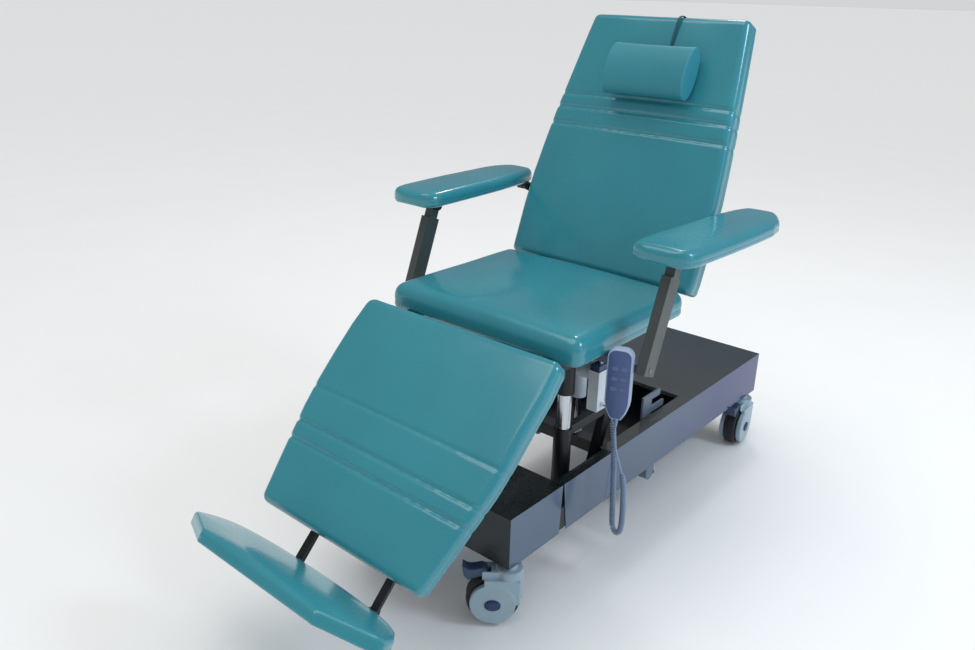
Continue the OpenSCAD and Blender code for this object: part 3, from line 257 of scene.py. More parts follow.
def dressFaces(piece, names, rule):
    # the rule turns all face middles and normals into numbers of the named finishes
    mesh = piece.data
    count = len(mesh.polygons)
    middles, normals = np.empty(count * 3), np.empty(count * 3)
    mesh.polygons.foreach_get("center", middles)
    mesh.polygons.foreach_get("normal", normals)
    setFinish(piece, *names)
    chosen = rule(middles.reshape(-1, 3), normals.reshape(-1, 3))
    mesh.polygons.foreach_set("material_index", chosen.astype(np.int32))
    mesh.update()


def meshPiece(name, points, faces):
    # points and faces as arrays; doubles are merged and the normals point outwards
    mesh = bpy.data.meshes.new(name)
    mesh.from_pydata(np.asarray(points, float).reshape(-1, 3).tolist(), [], [list(f) for f in faces])
    work = bmesh.new()
    work.from_mesh(mesh)
    bmesh.ops.remove_doubles(work, verts=work.verts, dist=weld)
    bmesh.ops.dissolve_degenerate(work, edges=work.edges, dist=sliver)
    bmesh.ops.recalc_face_normals(work, faces=work.faces)
    work.to_mesh(mesh)
    work.free()
    piece = bpy.data.objects.new(name, mesh)
    scene.collection.objects.link(piece)
    return piece


def gridFaces(rows, columns, caps):
    # quads between neighbours of a grid whose last column joins its first; caps close both ends
    r, c = np.meshgrid(np.arange(rows - 1), np.arange(columns), indexing="ij")
    following = (c + 1) % columns
    quads = np.stack([r * columns + c, r * columns + following, (r + 1) * columns + following,
                      (r + 1) * columns + c], axis=-1).reshape(-1, 4).tolist()
    if caps:
        quads.append(list(range(columns)))
        quads.append(list(range((rows - 1) * columns, rows * columns))[::-1])
    return quads


def surfacePiece(name, grid, caps=False):
    # a mesh piece from a grid
    return meshPiece(name, grid, gridFaces(*grid.shape[:2], caps))


def drawnIn(grid, shares=(0.0, 0.35, 0.7, 0.94)):
    # both ends of a tube-like grid are closed by copies of the end ring, shrunk about its middle
    ends = []
    for ring in (grid[0], grid[-1]):
        middle = ring.mean(axis=0)
        ends.append([middle + (ring - middle) * share for share in shares])
    return np.concatenate([np.array(ends[0]), grid, np.array(ends[1])[::-1]])


def walkedAlong(line):
    # the way walked at each point of a line
    return np.concatenate([[0], np.cumsum(np.linalg.norm(np.diff(line, axis=0), axis=1))])


def pointsAt(line, walked, where):
    # points of the line after the given ways
    return np.stack([np.interp(where, walked, line[:, k]) for k in range(line.shape[1])], axis=-1)


def softCurve(count, wide, high, square):
    # a superellipse walked at even steps: x is cos to a small power, z is sin to the same power
    angle = np.linspace(0, 2 * np.pi, curveSteps)
    power = lambda v: np.sign(v) * np.abs(v) ** square
    x, z = power(np.cos(angle)), power(np.sin(angle))
    walked = np.concatenate([[0], np.cumsum(np.hypot(np.diff(x) * wide, np.diff(z) * high))])
    at = np.linspace(0, walked[-1], count, endpoint=False)
    return np.interp(at, walked, x), np.interp(at, walked, z)


def turned(points, degrees):
    # turned about X
    a = math.radians(degrees)
    x, y, z = np.moveaxis(points, -1, 0)
    return np.stack([x, y * math.cos(a) - z * math.sin(a), y * math.sin(a) + z * math.cos(a)], axis=-1)


def turnedUp(points, degrees):
    # turned about Z
    a = math.radians(degrees)
    x, y, z = np.moveaxis(points, -1, 0)
    return np.stack([x * math.cos(a) - y * math.sin(a), x * math.sin(a) + y * math.cos(a), z], axis=-1)


def swap(points, order, signs):
    # the axes in another order, each with its sign
    return np.stack([points[..., k] * sign for k, sign in zip(order, signs)], axis=-1)


def copyOf(node, name):
    # a merged copy of a CAD node, its flat triangles joined into faces again
    mesh = nodes[node].data.copy()
    mesh.name = name
    mesh.materials.clear()
    for attribute in [a.name for a in mesh.attributes if a.name == "custom_normal"]:
        mesh.attributes.remove(mesh.attributes[attribute])
    work = bmesh.new()
    work.from_mesh(mesh)
    bmesh.ops.remove_doubles(work, verts=work.verts, dist=cadWeld)
    bmesh.ops.dissolve_limit(work, angle_limit=math.radians(flatAngle), verts=work.verts, edges=work.edges)
    work.to_mesh(mesh)
    work.free()
    piece = bpy.data.objects.new(name, mesh)
    scene.collection.objects.link(piece)
    return piece


def edgedCopy(node, width, finish, body):
    # the CAD node with its sharp edges broken by a small round
    piece = copyOf(node, node + "_edged")
    bevel = piece.modifiers.new("edges", "BEVEL")
    bevel.width, bevel.segments = width, edgeSegments
    bevel.limit_method, bevel.angle_limit = "ANGLE", math.radians(sharpAngle)
    finishPiece(piece, finish, body, sharpAngle)
    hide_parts(node)
    return piece


def applyModifiers(piece):
    # the mesh as its modifiers leave it
    evaluated = piece.evaluated_get(bpy.context.evaluated_depsgraph_get())
    mesh = bpy.data.meshes.new_from_object(evaluated)
    piece.modifiers.clear()
    piece.data = mesh


def mouldedCopy(node, name, v):
    # the CAD node remeshed evenly and smoothed, as a moulding with soft inner corners
    piece = copyOf(node, name)
    remesh = piece.modifiers.new("even", "REMESH")
    remesh.mode, remesh.voxel_size = "VOXEL", v["voxel"]
    smooth = piece.modifiers.new("soft", "SMOOTH")
    smooth.factor, smooth.iterations = v["softness"], v["rounds"]
    applyModifiers(piece)
    return piece


# places of the chair's moving parts; the foot plate's is given along and above the leg
backPivot = np.array(joints["recline"]["pos_m"])
legPivot = np.array(joints["leg_raise"]["pos_m"])
backLean, legSlope, footTilt = 23.9, 45.0, 11.7   # degrees
footOffset = np.array([0, -0.583, 0.064])


def inBack(points):
    # leaned back and put at the recline's axis
    return turned(points, -backLean) + backPivot


def inLeg(points):
    # sloped down and put at the leg's axis
    return turned(points, legSlope) + legPivot


def inFoot(points):
    # tilted and put at its place on the leg
    return inLeg(turned(points, footTilt) + footOffset)


# handset cable: straight out of the handset, hanging in a loop and back up to the control box
cableValues = {
    "diameter": 0.0046, "curlOutside": 0.015, "curls": 84, "curlFrom": 0.150, "curlTo": 0.040,
    "fade": 3.0, "steps": 14, "sides": 10, "sideWay": (0.25, -0.97, 0.0),
    "routeSteps": 8, "startSteps": 24, "endSteps": 9, "reach": 0.003,
    "route": [(324, -147, 474), (324, -147, 440), (326, -140, 400), (329, -125, 360), (331, -109, 320),
              (330, -96, 280), (328, -87, 230), (325, -80, 180), (320, -76, 148), (310, -73, 134),
              (299, -70, 136), (292, -68, 150), (288, -66, 190), (284, -64, 240), (278, -60, 300),
              (270, -54, 350), (259, -47, 395), (247, -42, 422), (236, -40, 436), (226, -40, 441),
              (222, -40, 441)],   # millimetres
}


def splinePoints(knots, steps):
    # a Catmull-Rom curve: each stretch is a cubic through its knots, with slopes from the neighbours
    p = np.vstack([knots[:1], knots, knots[-1:]])
    t = (np.arange(steps) / steps)[None, :, None]
    p0, p1, p2, p3 = (p[i:len(p) - 3 + i, None, :] for i in range(4))
    curve = 0.5 * (2 * p1 + (p2 - p0) * t + (2 * p0 - 5 * p1 + 4 * p2 - p3) * t ** 2
                   + (3 * p1 - p0 - 3 * p2 + p3) * t ** 3)
    return np.vstack([curve.reshape(-1, 3), knots[-1:]])


def unit(v):
    # each vector at length 1
    return v / np.linalg.norm(v, axis=-1, keepdims=True)


def sweepTube(path, radius, sides):
    # a round section carried along a path, its frame slid along so that it never twists
    way = unit(np.gradient(path, axis=0))
    startWay = np.array([1, 0, 0])
    first = unit(startWay - way[0] * np.dot(startWay, way[0]))
    side = [first]
    for direction in way[1:]:
        slid = side[-1] - direction * np.dot(side[-1], direction)
        side.append(slid / np.linalg.norm(slid))
    side = np.array(side)
    other = np.cross(way, side)
    angle = np.linspace(0, 2 * np.pi, sides, endpoint=False)[None, :, None]
    radius = np.broadcast_to(np.asarray(radius, float), (len(path),))[:, None, None]
    return path[:, None, :] + radius * (side[:, None, :] * np.cos(angle) + other[:, None, :] * np.sin(angle))


def cablePath(v):
    # the middle line at even steps, then a helix about it whose radius fades in and out on a smooth step
    middle = splinePoints(np.array(v["route"]) * mm, v["routeSteps"])
    walked = walkedAlong(middle)
    total = walked[-1]
    curlLength = total - v["curlFrom"] - v["curlTo"]
    s = np.concatenate([np.linspace(0, v["curlFrom"], v["startSteps"], endpoint=False),
                        np.linspace(v["curlFrom"], total - v["curlTo"], v["curls"] * v["steps"] + 1),
                        np.linspace(total - v["curlTo"], total, v["endSteps"])[1:]])
    heading = unit(pointsAt(middle, walked, np.minimum(total, s + v["reach"]))
                   - pointsAt(middle, walked, np.maximum(0, s - v["reach"])))
    sideWay = np.array(v["sideWay"])
    across = unit(sideWay - heading * (heading @ sideWay)[:, None])
    square = np.cross(heading, across)
    ring = (s - v["curlFrom"]) / curlLength * v["curls"]
    grow = np.clip(np.minimum(ring, v["curls"] - ring) / v["fade"], 0, 1)[:, None]
    grow = grow * grow * (3 - 2 * grow)
    angle = (2 * np.pi * ring)[:, None]
    radius = (v["curlOutside"] - v["diameter"]) / 2 * grow
    return pointsAt(middle, walked, s) + radius * (across * np.cos(angle) + square * np.sin(angle))


def addCable(v):
    path = cablePath(v)
    grid = sweepTube(path, v["diameter"] / 2, v["sides"])
    cable = finishPiece(surfacePiece("handset_cable", grid, caps=True), "cable", "seat")
    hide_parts("handset_cord")


addCable(cableValues)


# upholstery; all pads share these: steps round an edge, below and up a side, how far the rounds shrink at
# the ends, powers of the crown, the seam's share of the side, waves of unevenness and of puckers
padShape = {"bendSteps": 12, "lowSteps": 30, "sideSteps": 8, "endShrink": 0.7, "crownAcross": 2.4,
            "crownAlong": 6, "seamShare": 0.12, "swell": (19, 1.3, 14, 0.4), "ripple": (33, 27, 0.6),
            "pucker": (0.16, 150, 61), "pinch": 0.5}


def padGrid(v):
    # rows along the pad, each a closed section: flat below, a small round, an upright side, a large round
    # and a domed top; near both ends the top falls along a quarter circle and the corners are cut round;
    # a bell curve draws the side seam in, sine waves make the top uneven, and channels press in as narrow
    # bell curves that pucker and pinch the sides
    s = padShape
    long, thick, top, low = v["long"], v["thick"], v["topRound"], v["lowRound"]
    bend = np.linspace(0, np.pi / 2, s["bendSteps"])
    nearEnd = top * (1 - np.cos(bend))
    along = np.concatenate([nearEnd, np.linspace(top, long - top, v["rows"])[1:-1], long - nearEnd[::-1]])
    fromEnd = np.minimum(along, long - along)
    fall = lambda radius: radius - np.sqrt(radius ** 2 - np.maximum(radius - fromEnd, 0) ** 2)
    plan = np.array(v["plan"])
    left = np.interp(along / long, plan[:, 0], plan[:, 1]) + fall(v["corner"])
    right = np.interp(along / long, plan[:, 0], plan[:, 2]) - fall(v["corner"])
    middle, half = ((left + right) / 2)[:, None], ((right - left) / 2)[:, None]
    full = (1 - s["endShrink"] * fall(top) / top)[:, None]
    ones, none = np.ones, np.zeros
    flatLow = np.linspace(0, 1, s["lowSteps"])[:-1]
    side = np.linspace(0, 1, s["sideSteps"])[1:-1]
    flatTop = np.linspace(1, 0, v["across"])[1:]
    n = (len(flatLow), len(bend), len(side), len(bend), len(flatTop))
    reach = np.concatenate([flatLow, ones(n[1] + n[2] + n[3]), flatTop])
    back = np.concatenate([low * flatLow, low * (1 - np.sin(bend)), none(n[2]), top * (1 - np.cos(bend)),
                           top * flatTop])
    lowRise = np.concatenate([none(n[0]), 1 - np.cos(bend), ones(n[2] + n[3] + n[4])])
    sideRise = np.concatenate([none(n[0] + n[1]), side, ones(n[3] + n[4])])
    topRise = np.concatenate([none(n[0] + n[1] + n[2]), np.sin(bend), ones(n[4])])
    start, peak = fall(low)[:, None], thick - fall(top)[:, None]
    x = half * reach - back * full
    up = start + full * low * lowRise + (peak - start - full * (top + low)) * sideRise + full * top * topRise
    share = np.clip(x / half, 0, 1)
    place = (along / long)[:, None]
    crown = (1 - share ** s["crownAcross"]) * (1 - np.abs(2 * place - 1) ** s["crownAlong"])
    up = up + v["crown"] * topRise * crown
    x = np.concatenate([x, -x[:, -2:0:-1]], axis=1)
    up = np.concatenate([up, up[:, -2:0:-1]], axis=1)
    topRise = np.concatenate([topRise, topRise[-2:0:-1]])[None, :]
    sideRise = np.concatenate([sideRise, sideRise[-2:0:-1]])[None, :]
    x = x - np.sign(x) * v["seam"] * np.exp(-((sideRise - 0.5) / s["seamShare"]) ** 2)
    y = along[:, None] + 0 * x
    acrossWave, acrossShift, alongWave, alongShift = s["swell"]
    swell = np.sin(acrossWave * x + acrossShift) * np.sin(alongWave * y + alongShift)
    rippleAcross, rippleAlong, rippleShare = s["ripple"]
    ripple = rippleShare * np.sin(rippleAcross * x + rippleAlong * y)
    up = up + v["uneven"] * topRise * (swell + ripple)
    puckerDepth, fine, coarse = s["pucker"]
    for where, width, depth in v["channels"]:
        bell = np.exp(-((y - where * long) / width) ** 2)
        pucker = 1 + puckerDepth * np.sin(x * fine) * np.sin(x * coarse)
        up = up - depth * pucker * bell * topRise
        x = x * (1 - s["pinch"] * depth / half * bell)
    return drawnIn(np.stack([x + middle, y, up], axis=-1))


def evenPlan(wide, shares):
    # a plan with the same share of the half width on both sides
    return [(place, -wide / 2 * share, wide / 2 * share) for place, share in shares]


# plans are (place along, left, right); channels are (place along, width, depth)
seatValues = {"long": 0.472, "thick": 0.063, "topRound": 0.030, "lowRound": 0.012, "corner": 0.024,
              "crown": 0.010, "rows": 84, "across": 52, "seam": 0.0012, "uneven": 0.0005, "channels": [],
              "plan": evenPlan(0.572, [(0, 0.99), (0.06, 1), (0.94, 1), (1, 0.985)]),
              "drop": 0.012, "fill": 0.9}   # the cover drops round its board
backValues = {"long": 0.711, "thick": 0.056, "topRound": 0.018, "lowRound": 0.006, "corner": 0.012,
              "crown": 0.008, "rows": 230, "across": 56, "seam": 0.0012, "uneven": 0.0006,
              "channels": [(0.542, 0.0055, 0.0040), (0.613, 0.0055, 0.0044), (0.666, 0.0055, 0.0034)],
              "plan": [(0, -0.289, 0.283), (0.05, -0.291, 0.285), (0.2, -0.295, 0.283),
                       (0.34, -0.295, 0.280), (0.45, -0.290, 0.273), (0.6, -0.280, 0.262),
                       (0.8, -0.261, 0.244), (0.93, -0.249, 0.232), (1, -0.241, 0.225)],
              "rear": 0.0225, "low": 0.044, "fill": 0.9}   # its rear face and lower end, from the axis
legValues = {"long": 0.541, "thick": 0.042, "topRound": 0.018, "lowRound": 0.006, "corner": 0.014,
             "crown": 0.009, "rows": 170, "across": 56, "seam": 0.0012, "uneven": 0.0006,
             "channels": [(0.472, 0.0050, 0.0022), (0.634, 0.0050, 0.0036), (0.714, 0.0050, 0.0040)],
             "plan": [(0, -0.288, 0.284), (0.04, -0.296, 0.291), (0.15, -0.302, 0.294),
                      (0.3, -0.303, 0.291), (0.45, -0.302, 0.289), (0.565, -0.297, 0.284),
                      (0.65, -0.289, 0.277), (0.83, -0.273, 0.262), (0.95, -0.261, 0.251),
                      (1, -0.255, 0.246)],
             "under": 0.030, "top": 0.022, "fill": 0.9}   # its underside and upper end, from the axis
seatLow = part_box("seat_cushion")[0]
seatStart = np.array([0, seatLow.y, seatLow.z - seatValues["drop"]])
backStart = np.array([0, -backValues["rear"], backValues["low"]])
legStart = np.array([0, legValues["top"], legValues["under"]])


def addPad(name, v, place, body, node):
    # a pad's grid, put in its place by the given function
    pad = surfacePiece(name, place(padGrid(v)))
    finishPiece(pad, "tealVinyl", body)
    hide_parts(node)


addPad("seat_pad", seatValues, lambda p: p + seatStart, "seat", "seat_cushion")
addPad("back_pad", backValues, lambda p: inBack(swap(p, (0, 2, 1), (1, -1, 1)) + backStart), "back",
       "back_cushion")
addPad("leg_pad", legValues, lambda p: inLeg(swap(p, (0, 1, 2), (1, -1, 1)) + legStart), "leg", "leg_cushion")
print("cushions made")


# foot plate: rounded at the back, its front corners cut off straight; its cover wraps the board and
# reaches past both its edges
footValues = {"long": 0.180, "thick": 0.0282, "topRound": 0.010, "lowRound": 0.005, "corner": 0.0,
              "crown": 0.008, "rows": 70, "across": 50, "seam": 0.0008, "uneven": 0.0003, "channels": [],
              "plan": evenPlan(0.606, [(0, 0.35), (0.025, 0.36), (0.0364, 0.46), (0.0535, 0.56),
                                       (0.082, 0.66), (0.12, 0.75), (0.177, 0.83), (0.234, 0.885),
                                       (0.367, 0.95), (0.5, 0.985), (0.595, 0.998), (0.6188, 1),
                                       (0.6425, 0.987), (0.6615, 0.97), (0.975, 0.62), (1, 0.6)]),
              "past": 0.0045, "fill": 1.0}
footStart = np.array([0, footValues["thick"], footValues["past"]])
addPad("foot_plate_pad", footValues, lambda p: inFoot(swap(p, (0, 2, 1), (1, 1, 1)) - footStart), "foot",
       "foot_pad")


# head pillow: a bolster with flat sewn ends, and its strap over the backrest
pillowValues = {"wide": 0.240, "high": 0.138, "deep": 0.072, "side": 0.016, "low": 0.516, "rear": 0.0885,
                "square": 0.92, "around": 120, "rows": 60, "edge": 0.004, "bendSteps": 8, "piping": 0.0010,
                "pipingPlace": 1.6, "pipingWide": 0.0016, "sag": 0.0015, "fill": 0.8}


def pillowGrid(v):
    # an oval section along X; at both ends it shrinks round a tight edge, after a thin raised seam, and
    # its middle sags by half a sine wave
    c, s = softCurve(v["around"], v["high"] / 2, v["deep"] / 2, v["square"])
    edge = v["edge"]
    bend = np.linspace(0, np.pi / 2, v["bendSteps"])
    nearEnd = edge * (1 - np.cos(bend))
    wide = v["wide"]
    x = np.concatenate([nearEnd, np.linspace(edge, wide - edge, v["rows"])[1:-1], wide - nearEnd[::-1]])
    fromEnd = np.minimum(x, wide - x)
    cut = edge - np.sqrt(edge ** 2 - np.maximum(edge - fromEnd, 0) ** 2)
    seam = v["piping"] * np.exp(-((fromEnd - v["pipingPlace"] * edge) / v["pipingWide"]) ** 2)
    sag = v["sag"] * np.sin(np.pi * x / wide)
    high, deep = (v["high"] / 2 - cut + seam - sag)[:, None], (v["deep"] / 2 - cut + seam - sag)[:, None]
    return drawnIn(np.stack([x[:, None] - wide / 2 + v["side"] + 0 * c, -v["rear"] - v["deep"] / 2 + deep * s,
                             v["low"] + v["high"] / 2 + high * c], axis=-1))


pillow = surfacePiece("head_rest_pillow", inBack(pillowGrid(pillowValues)))
finishPiece(pillow, "pillowVinyl", "back")
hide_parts("head_pillow")

strapValues = {"side": 0.035, "wide": 0.0075, "thick": 0.0018, "front": -0.0880, "rear": -0.0102,
               "top": 0.7562, "start": 0.600, "behind": 0.110, "round": 0.022, "roundSteps": 9,
               "straight": 0.02}


def strapGrid(v):
    # a flat band carried up the front, over the top on two round corners and down behind
    r = v["round"]
    arc = np.linspace(0, np.pi / 2, v["roundSteps"])
    front, rear, top = v["front"], v["rear"], v["top"]
    y = np.concatenate([[front, front], front + r - r * np.cos(arc), rear - r + r * np.sin(arc), [rear]])
    z = np.concatenate([[v["start"], top - r - v["straight"]], top - r + r * np.sin(arc),
                        top - r + r * np.cos(arc), [top - v["behind"]]])
    line = np.stack([y, z], axis=-1)
    way = unit(np.gradient(line, axis=0))
    out = np.stack([-way[:, 1], way[:, 0]], axis=-1) * v["thick"]
    w = v["wide"] / 2
    ring = [(-w, 0), (w, 0), (w, 1), (-w, 1)]
    return np.stack([np.stack([np.full(len(line), v["side"] + x), line[:, 0] + k * out[:, 0],
                               line[:, 1] + k * out[:, 1]], axis=-1) for x, k in ring], axis=1)


strap = surfacePiece("pillow_strap", inBack(strapGrid(strapValues)), caps=True)
# the strap's near black finish is painted shadow
finishPiece(strap, "strapPaintedShadow", "back", sharpAngle)
print("foot plate and pillow made")


# arm pads: broad and rounded at the front, leaning outwards at the rear; they wrap their boards
armWide = 0.166
armPlan = [(0, 0.33, 0.60), (0.004, 0.24, 0.69), (0.012, 0.15, 0.775), (0.025, 0.08, 0.84),
           (0.045, 0.03, 0.885), (0.07, 0.008, 0.91), (0.1, 0, 0.93), (0.2, 0.01, 0.95), (0.4, 0.04, 0.98),
           (0.62, 0.08, 1), (0.78, 0.13, 1), (0.88, 0.17, 0.95), (0.93, 0.205, 0.885), (0.965, 0.245, 0.815),
           (0.985, 0.285, 0.75), (0.996, 0.34, 0.69), (1, 0.40, 0.62)]   # place along, inner and outer side
armValues = {"long": 0.496, "thick": 0.0365, "topRound": 0.018, "lowRound": 0.009, "corner": 0.0,
             "crown": 0.005, "rows": 110, "across": 26, "seam": 0.0008, "uneven": 0.0004, "channels": [],
             "plan": [(place, armWide * (inner - 0.5), armWide * (outer - 0.5))
                      for place, inner, outer in armPlan],
             "inner": 0.292, "wrap": 0.0062, "fill": 1.0}   # wrap is how far it reaches below its board's top
for side, sign in (("left", 1), ("right", -1)):
    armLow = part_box("arm_board_" + side)[1].z - armValues["wrap"]
    armStart = np.array([armValues["inner"] + armWide / 2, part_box("arm_pad_" + side)[0].y, armLow])
    addPad("armrest_pad_" + side, armValues, lambda p: (p + armStart) * np.array([sign, 1, 1]),
           "armrest_" + side, "arm_pad_" + side)
print("arm pads made")


# sheet metal, frame and posts: CAD nodes with their edges rounded, each with the width of its round
edged = {}
for node, width, finish, body, slot in (
        ("front_box", 0.0012, "baseSheet", "base", "base_sheet"),
        ("side_panels", 0.0008, "baseSheet", "base", "base_sheet"),
        ("rear_cover", 0.0012, "baseSheet", "base", "base_sheet"),
        ("arm_post_left", 0.003, "postSteel", "arm_post_left", "post_steel"),
        ("arm_post_right", 0.003, "postSteel", "arm_post_right", "post_steel"),
        ("control_box", 0.003, "driveHousing", "seat", "drive_housing"),
        ("seat_board", 0.002, "darkBoard", "seat", "dark_board"),
        ("back_board", 0.002, "darkBoard", "back", "dark_board"),
        ("leg_board", 0.002, "darkBoard", "leg", "dark_board"),
        ("arm_board_left", 0.0012, "darkBoard", "armrest_left", "dark_board"),
        ("arm_board_right", 0.0012, "darkBoard", "armrest_right", "dark_board"),
        ("foot_bars", 0.0015, "blackBar", "foot", "black_bar"),
        ("earth_posts", 0.002, "greyMetal", "base", "grey_metal"),
        ("column_rods", 0.0012, "brightSteel", "seat", "bright_steel"),
        ("lift_columns", 0.0012, "columnPaint", "base", "dark_frame"),
        ("seat_rails", 0.002, "darkFrame", "seat", "dark_frame"),
        ("back_rails", 0.002, "darkFrame", "back", "dark_frame"),
        ("leg_rails", 0.002, "darkFrame", "leg", "dark_frame"),
        ("base_rails", 0.002, "darkFrame", "base", "dark_frame"),
        ("power_unit", 0.004, "driveHousing", "base", "drive_housing")):
    edged[node] = edgedCopy(node, width, finish, body)

# the base's sheets take darker copies of their finish on faces that look up or forwards, as painted
# reflection;
# the control box's band, the rods' sleeves, the posts' knobs and the paler forked bracket in the cover's
# opening have colours of their own
bandValues = {
    "facing": 0.7,   # share of a normal that points up or forwards
    "controlBand": (0.104, 0.1195),   # above the box's lowest point; the rest is in the chair's own axes
    "sleeveFrom": 0.4715, "knobFrom": 0.276, "knobSpan": (0.0895, 0.1145),
    "forkSide": 0.1735, "forkSpan": (0.234, 0.352), "forkFrom": 0.171,
}


def within(values, span):
    # true between both ends of a span
    return (values > span[0]) & (values < span[1])


def upwards(m, n):
    # 1 for the faces that look up
    return np.where(n[:, 2] > bandValues["facing"], 1, 0)


controlSpan = [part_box("control_box")[0].z + height for height in bandValues["controlBand"]]
# painted reflection: faces of the sheets that look up or forwards take the darker copies
dressFaces(edged["front_box"], ("baseSheet", "boxTopPaintedReflection", "boxFrontPaintedReflection"),
           lambda m, n: np.where(upwards(m, n), 1, np.where(n[:, 1] < -bandValues["facing"], 2, 0)))
dressFaces(edged["side_panels"], ("baseSheet", "boxTopPaintedReflection"), upwards)
dressFaces(edged["rear_cover"], ("baseSheet", "coverTopPaintedReflection"), upwards)
dressFaces(edged["control_box"], ("driveHousing", "navyPlastic"), lambda m, n: within(m[:, 2], controlSpan))
dressFaces(edged["column_rods"], ("brightSteel", "columnPaint"),
           lambda m, n: m[:, 2] > bandValues["sleeveFrom"])
dressFaces(edged["earth_posts"], ("greyMetal", "navyPlastic"),
           lambda m, n: (m[:, 1] > bandValues["knobFrom"]) & within(m[:, 2], bandValues["knobSpan"]))
dressFaces(nodes["cross_members"], ("darkFrame", "greyMetal"),
           lambda m, n: (m[:, 0] > bandValues["forkSide"]) & within(m[:, 1], bandValues["forkSpan"])
           & (m[:, 2] > bandValues["forkFrom"]))

# nodes whose shape is right keep it, with a better surface
for node, finish in (
        ("lift_rod", "brightSteel"), ("under_tray", "darkFrame"), ("seat_crosses", "darkFrame"),
        ("lift_motor", "driveHousing"), ("arm_brackets", "greyMetal"), ("back_crosses", "darkFrame"),
        ("leg_crosses", "darkFrame"), ("foot_board", "darkBoard"), ("leg_motor", "driveHousing"),
        ("leg_rod", "brightSteel"), ("back_motor", "driveHousing"), ("back_rod", "brightSteel")):
    setFinish(nodes[node], finish)
print("frame dressed")


# casters: moulded shells, tyres with a shallow groove, oval caps and pedals
casterValues = {
    "voxel": 0.0015, "softness": 0.6, "rounds": 12, "wheel": 0.125, "around": 72, "tyreWide": 0.034,
    "shoulder": 0.006, "shoulderSteps": 8, "groove": ((0.0035, 0), (0.003, 0.0012)), "rim": 0.050,
    "bead": (0.004, 0.002), "hubGap": 0.0021, "lip": (0.013, 0.003),
    "hub": [(0.0165, 0.0062), (0.0165, 0.019), (0.013, 0.020), (0.011, 0.024), (0.010, 0.040)],
    "capWide": 0.037, "capHigh": 0.029, "capOut": 0.0412, "shellOut": 0.0340, "capAround": 48,
    "capSteps": 12, "capFrom": 0.25, "capSkirt": [(1.0, 0.0), (1.0, 0.5)],
    "barHigh": 0.0026, "barShare": 0.36, "barDepth": 0.16,
}
corners = {}
for corner in ("front_left", "front_right", "rear_left", "rear_right"):
    stem = np.array(joints["swivel_" + corner]["pos_m"])
    axle = np.array(joints["spin_" + corner]["pos_m"])
    corners[corner] = {"stem": np.array([stem[0], stem[1], 0]), "trail": math.hypot(*(axle - stem)[:2]),
                       "turn": math.degrees(math.atan2(axle[1] - stem[1], axle[0] - stem[0]))}
trail = corners["front_left"]["trail"]


def inCaster(points, corner):
    # from the caster's own place, trailing along X, to its stem
    return turnedUp(points, corners[corner]["turn"]) + corners[corner]["stem"]


def wheelGrid(v, profile):
    # a closed profile, given as (across, radius), turned round the axle
    across, radius = np.array(profile + profile[:1]).T
    angle = np.linspace(0, 2 * np.pi, v["around"], endpoint=False)
    x = trail + radius[:, None] * np.cos(angle)
    z = v["wheel"] / 2 + radius[:, None] * np.sin(angle)
    return np.stack([x, np.repeat(across[:, None], v["around"], 1), z], axis=-1)


def tyreProfile(v):
    # a tyre's section: flat tread with rounded shoulders and a groove, down to the rim
    half, out, rim, shoulder = v["tyreWide"] / 2, v["wheel"] / 2, v["rim"], v["shoulder"]
    bend = np.linspace(0, np.pi / 2, v["shoulderSteps"])
    right = [(half - shoulder + shoulder * math.sin(a), out - shoulder + shoulder * math.cos(a))
             for a in bend]
    left = [(-x, r) for x, r in right[::-1]]
    groove = [(-x, out - depth) for x, depth in v["groove"]]
    groove += [(-x, r) for x, r in groove[::-1]]
    beadIn, beadLow = v["bead"]
    return left + groove + right + [(half, rim), (half - beadIn, rim - beadLow),
                                    (-half + beadIn, rim - beadLow), (-half, rim)]


def hubProfile(v):
    # the wheel's body: bore, hub, web and a lip under the tyre
    rim = v["rim"] - v["hubGap"]
    lipHalf, lipHigh = v["lip"]
    outer = [*v["hub"], (lipHalf, rim - lipHigh), (lipHalf, rim)]
    return [(-across, radius) for across, radius in outer] + outer[::-1]


def capGrid(v, side):
    # an oval button: rings shrink as a dome rises, with a shallow bar pressed across it
    rise = np.linspace(v["capFrom"], np.pi / 2, v["capSteps"])
    rings = np.concatenate([v["capSkirt"], np.stack([np.cos(rise), np.sin(rise)], axis=-1)])
    angle = np.linspace(0, 2 * np.pi, v["capAround"], endpoint=False)
    x = trail + v["capWide"] / 2 * rings[:, :1] * np.cos(angle)
    z = v["wheel"] / 2 + v["capHigh"] / 2 * rings[:, :1] * np.sin(angle)
    onBar = np.abs(x - trail) < v["capWide"] * v["barShare"]
    bar = np.exp(-((z - v["wheel"] / 2) / v["barHigh"]) ** 2) * onBar
    out = v["shellOut"] + (v["capOut"] - v["shellOut"]) * rings[:, 1:] * (1 - v["barDepth"] * bar)
    return np.stack([x, side * out, z], axis=-1)


pedalValues = {"pin": (0.058, 0.136), "wide": 0.030, "size": 0.006, "round": 0.002, "segments": 3,
               "bevelFrom": 30, "toeSteps": 7, "toeShort": 0.002, "toeLift": 0.0015, "toeDip": 0.004,
               "toeRise": 0.007}   # bevelFrom in degrees


